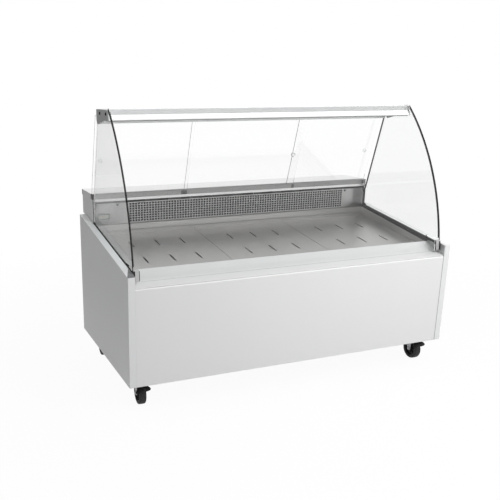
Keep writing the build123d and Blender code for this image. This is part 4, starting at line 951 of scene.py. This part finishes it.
# %% Thermometer
GAUGE = WORKSHOP @ Matrix.Translation((-891.0, 0.0, 899.0))
GAUGE_BACK, GAUGE_FACE, GAUGE_FRONT = 794.9, 791.2, 789.0
MARKS, MARK_PITCH, MARK_WIDE, LONG_MARK, SHORT_MARK = 13, 4.2, 0.6, 5.0, 3.0
MARK_LEFT, MARK_LOW = -26.0, -8.5
outer, inner = rounded(74.0, 38.0, 6.0), rounded(60.0, 22.0, 3.0)
bezel = bmesh.new()
rims = []
for outline, d in ((outer, GAUGE_BACK), (outer, GAUGE_FRONT), (inner, GAUGE_FRONT), (inner, GAUGE_BACK)):
    rims.append([bezel.verts.new(GAUGE @ Vector((x, d, z))) for x, z in outline])
skin(bezel, rims + rims[:1])
ease(make_piece("thermometer_frame", bezel, "case", "gauge_grey", "grey_trim", "thermometer"), 0.8)
marks = []
for k in range(MARKS):
    x, top = MARK_LEFT + MARK_PITCH * k, MARK_LOW + (SHORT_MARK if k % 3 else LONG_MARK)
    marks.append([(x, MARK_LOW), (x + MARK_WIDE, MARK_LOW), (x + MARK_WIDE, top), (x, top)])
card, column = rounded(61.0, 23.0, 3.0), rounded(38.0, 1.8, 0.8, x=-9.0, z=2.5)
for name, outlines, front, back, look, slot in (
    ("scale", [card], 0.0, 3.5, "pale_green", "grey_trim"),
    ("marks", marks, -0.2, 0.1, "dark_trim", "dark_trim"),
    ("column", [column], -0.5, 0.1, "spirit_red", "grey_trim"),
):
    cut("thermometer_" + name, outlines, GAUGE_FACE + front, GAUGE_FACE + back, look, slot, place=GAUGE)
print("thermometer with", MARKS, "marks")

# %% [markdown]
# ## Control panel
# The staff side has a small control panel under the worktop: a dark display window in its recess, four keys
# and a pilot light beside the power switch. The figures on the display are plain bars, as on any such gauge.

# %% Display
PANEL_BACK = WORKSHOP @ Matrix.Translation((-680.0, 1049.5, 955.0)) @ Matrix.Rotation(math.pi, 4, "Z")
BAR, DIGIT_W, DIGIT_H, BAR_GAP, BAR_CORNER = 2.4, 11.0, 20.0, 0.4, 0.7
LIT_BARS = {"2": "abged", "5": "afgcd"}
window = rounded(76.0, 32.0, 3.0)
cut("display_window", [window], 0.0, 1.1, "black_enamel", "black_plastic", place=PANEL_BACK, edge=0.3)


def digit_bars(figure, x):
    """Outlines of the lit bars of one seven-bar figure, whose left edge is at x."""
    top, right, half = DIGIT_H / 2, DIGIT_W, DIGIT_H / 2 - BAR
    spots = {
        "a": (0.0, top - BAR, right, BAR),
        "g": (0.0, -BAR / 2, right, BAR),
        "d": (0.0, -top, right, BAR),
        "f": (0.0, BAR / 2, BAR, half),
        "b": (right - BAR, BAR / 2, BAR, half),
        "e": (0.0, BAR / 2 - top, BAR, half),
        "c": (right - BAR, BAR / 2 - top, BAR, half),
    }
    shapes = []
    for left, low, wide, tall in (spots[bar] for bar in LIT_BARS[figure]):
        middle = (x + left + wide / 2, low + tall / 2)
        shapes.append(rounded(wide - BAR_GAP, tall - BAR_GAP, BAR_CORNER, 2, *middle))
    return shapes


figures = digit_bars("2", -15.0) + digit_bars("5", 4.0)
cut("display_figures", figures, -0.25, 0.1, "display_light", "grey_trim", place=PANEL_BACK)
print("display of", len(figures), "bars")

# %% Keys and pilot light
KEY_X, KEY_Z = (-624.0, -601.0), (944.0, 966.0)
PILOT = [(0.0, 1.8), (1.6, 1.6), (2.6, 0.9), (2.8, 0.0), (2.8, -0.3), (0.0, -0.3)]
keys = [rounded(15.0, 11.0, 3.0, x=x, z=z) for x in KEY_X for z in KEY_Z]
cut("panel_keys", keys, 1049.7, 1051.4, "grey_trim", "grey_trim", edge=0.5)
pilot = bmesh.new()
lathe(pilot, PILOT, WORKSHOP @ Matrix.Translation((-630.0, 1050.0, 983.0)) @ TURN["rear"], 24)
make_piece("pilot_light", pilot, "case", "pilot_green", "grey_trim")
print(len(keys), "keys and a pilot light")

# %% [markdown]
# ## Glass seals
# A black rubber strip closes the joint between the curved front glass and each side glass, and the ends of
# the curved glass wear a thin black edging. A flat strip follows the rear edge of each side glass: the right
# one is black, a painted dark reflection along that edge, and the left one is clear. Each is a section swept
# along its edge. A black plug closes each side channel's rear end, and a hooked gasket each end of the sill.

# %% Paths and sections of the seals
ARC_MIDDLE, ARC_STEPS = (1355.5, 599.1), 48
SEAL_RADIUS, SEAL_START, SEAL_END = 1309.7, 8.1, 44.3
GLASS_RADIUS, GLASS_START, GLASS_END = 1319.7, 4.6, 45.0
EDGE_PATH = [(642.4, 1487.0), (783.5, 984.0), (788.5, 975.0), (788.5, 860.0)]
HOOK_PATH = [(949.0, 1036.0), (949.0, 992.0), (937.0, 985.0), (935.5, 972.0), (940.0, 955.0), (947.5, 950.0)]
STRIP = [(949.4, -0.1), (958.2, -0.1), (958.2, -1.7), (949.4, -1.7)]
GLASS_TRIM = [(956.3, 8.4), (958.1, 8.4), (958.1, -0.6), (956.3, -0.6)]
EDGE_LIP = [(948.4, -10.0), (949.9, -10.0), (949.9, 2.4), (948.4, 2.4)]
HOOK = [(786.5, -2.2), (790.5, -2.2), (790.5, 2.2), (786.5, 2.2)]
PLUG = [(768.0, 846.0), (790.0, 851.0), (790.0, 873.0), (783.0, 876.0), (768.0, 866.0)]
# painted reflection: the black right strip stands for the dark line seen along that glass edge
EDGE_LOOK = {"left": "clear_plastic", "right": "dark_trim"}


def arc_path(radius, start, end):
    """Points of the glass's bend at one radius, from the top down."""
    turns = [math.radians(end + (start - end) * step / ARC_STEPS) for step in range(ARC_STEPS + 1)]
    return [(ARC_MIDDLE[0] - radius * math.cos(t), ARC_MIDDLE[1] + radius * math.sin(t)) for t in turns]


seal_path = arc_path(SEAL_RADIUS, SEAL_START, SEAL_END)
trim_path = arc_path(GLASS_RADIUS, GLASS_START, GLASS_END)
print("each arc has", len(seal_path), "points")

# %% Glass seals
def black_block(name, side, outline, near, far, body, edge):
    """Make a black block from near to far, counted from the middle of the case."""
    low, high = SIDES[side] * near, SIDES[side] * far
    cut(name + side, [outline], low, high, "dark_trim", "dark_trim", body=body, place=ALONG_CASE, edge=edge)


for side, sign in SIDES.items():
    for name, path, section, body, look in (
        ("front_seal_", seal_path, STRIP, "case", "dark_trim"),
        ("glass_trim_", trim_path, GLASS_TRIM, "glass", "dark_trim"),
        ("rear_seal_", EDGE_PATH, EDGE_LIP, "case", EDGE_LOOK[side]),
    ):
        strip = bmesh.new()
        sweep(strip, path, [(sign * x, out) for x, out in section], ALONG_CASE)
        make_piece(name + side, strip, body, look, "dark_trim")
    black_block("channel_plug_", side, PLUG, 945.0, 961.0, "case", 1.5)
    hook = bmesh.new()
    sweep(hook, [(sign * x, z) for x, z in HOOK_PATH], HOOK, WORKSHOP)
    ease(make_piece("sill_gasket_" + side, hook, "case", "dark_trim", "dark_trim"), 0.8)
print("seals on both side glasses")

# %% [markdown]
# ## Front corners
# Where the side channel ends, a black gasket runs on along the rail's end cap, and a plate is let into the
# top of the end panel. This plate shows dark at the left and bright at the right, as the left end is in
# shade,
# so each end has its own finish: the left one is painted dark grey as shade, the right one wears satin steel.
# Each clamp of the curved glass has a black pad on its inner side and a black strip that carries the glass's
# edging on down to the rail. The panes' stops are small dark blocks on the sill's face.

# %% Front corners
SLOPE_FOOT, SLOPE = 742.0, (892.0 - 742.0) / 966.0
GASKET = [(153.6, 765.3), (62.0, 751.1), (62.0, 743.0), (153.6, 750.0)]
PLATE = [(962.2, 0.6), (999.0, 0.6), (999.0, 8.0), (982.0, 56.0), (962.2, 110.0)]
PLATE_LIFT = (-0.5, 0.9)
# painted shade at the left: the left plate is dark grey, the right one wears the rail's satin steel
PLATE_LOOK = {"left": "clamp_grey", "right": "stainless_satin"}
EDGING = [(33.6, 712.0), (35.8, 746.0), (38.4, 762.0), (40.4, 762.0), (37.8, 746.0), (35.4, 712.0)]
PAD = [(35.6, 714.0), (37.9, 746.0), (40.4, 761.0), (44.0, 761.0), (41.8, 746.0), (39.6, 714.0)]
PAD += [(38.6, 711.0), (36.6, 711.0)]
for side, sign in SIDES.items():
    black_block("cap_gasket_", side, GASKET, 950.5, 959.9, "case", 0.6)
    plate = bmesh.new()
    layers = []
    for lift in PLATE_LIFT:
        spots = [Vector((sign * x, d, SLOPE_FOOT + SLOPE * d + lift)) for x, d in PLATE]
        layers.append([plate.verts.new(WORKSHOP @ spot) for spot in spots])
    close_loops(plate, layers)
    make_piece("corner_plate_" + side, plate, "case", PLATE_LOOK[side], "grey_trim")
    black_block("clamp_pad_", side, PAD, 924.6, 928.4, "glass", 0.5)
    black_block("clamp_edging_", side, EDGING, 949.6, 957.2, "glass", 0.4)
print("gasket, plate, pad and edging at both corners")

# %% Pane stops
STOP_X, STOP_LOW, STOP_TOP = ((-398.0, -360.0), (380.0, 397.0)), 1005.0, 1029.0
stops = [[(low, STOP_LOW), (high, STOP_LOW), (high, STOP_TOP), (low, STOP_TOP)] for low, high in STOP_X]
cut("pane_stops", stops, 798.0, 800.3, "stop_grey", "dark_trim", edge=1.0)
print(len(stops), "pane stops")

# %% [markdown]
# ## Upper track
# The panes hang in an aluminium profile behind the canopy. It is the CAD section again, cut flush with the
# canopy's ends so that the end brackets cover it, and with its edges broken.

# %% Upper track
TRACK = [
    (684.8, 1492.3), (682.1, 1491.5), (687.5, 1473.2), (685.0, 1472.5), (679.6, 1490.7), (673.4, 1488.9),
    (678.8, 1470.7), (676.4, 1470.0), (671.3, 1487.2), (641.2, 1496.7), (641.2, 1520.0), (644.1, 1520.0),
    (644.1, 1500.7), (688.6, 1500.7), (696.0, 1475.8), (693.6, 1475.1), (688.2, 1493.3),
]
cut("upper_track", [TRACK], -949.7, 949.7, "aluminium", "aluminium", "door_head_track",
    place=ALONG_CASE, edge=0.3)
print("upper track of", len(TRACK), "corners")

# %% [markdown]
# ## Dark strip under the lamp
# A narrow dark strip runs under the rear half of the lamp's cover.

# %% Dark strip under the lamp
# a narrow dark strip under the lamp's cover, where a thin dark line shows
UNDER_LAMP_STRIP = [(416.0, 1471.8), (498.0, 1471.8), (498.0, 1467.5), (420.0, 1467.5)]
cut("under_lamp_strip", [UNDER_LAMP_STRIP], -946.0, 946.0, "clamp_grey", "grey_trim", place=ALONG_CASE, edge=0.8)
print("lamp carrier fitted")
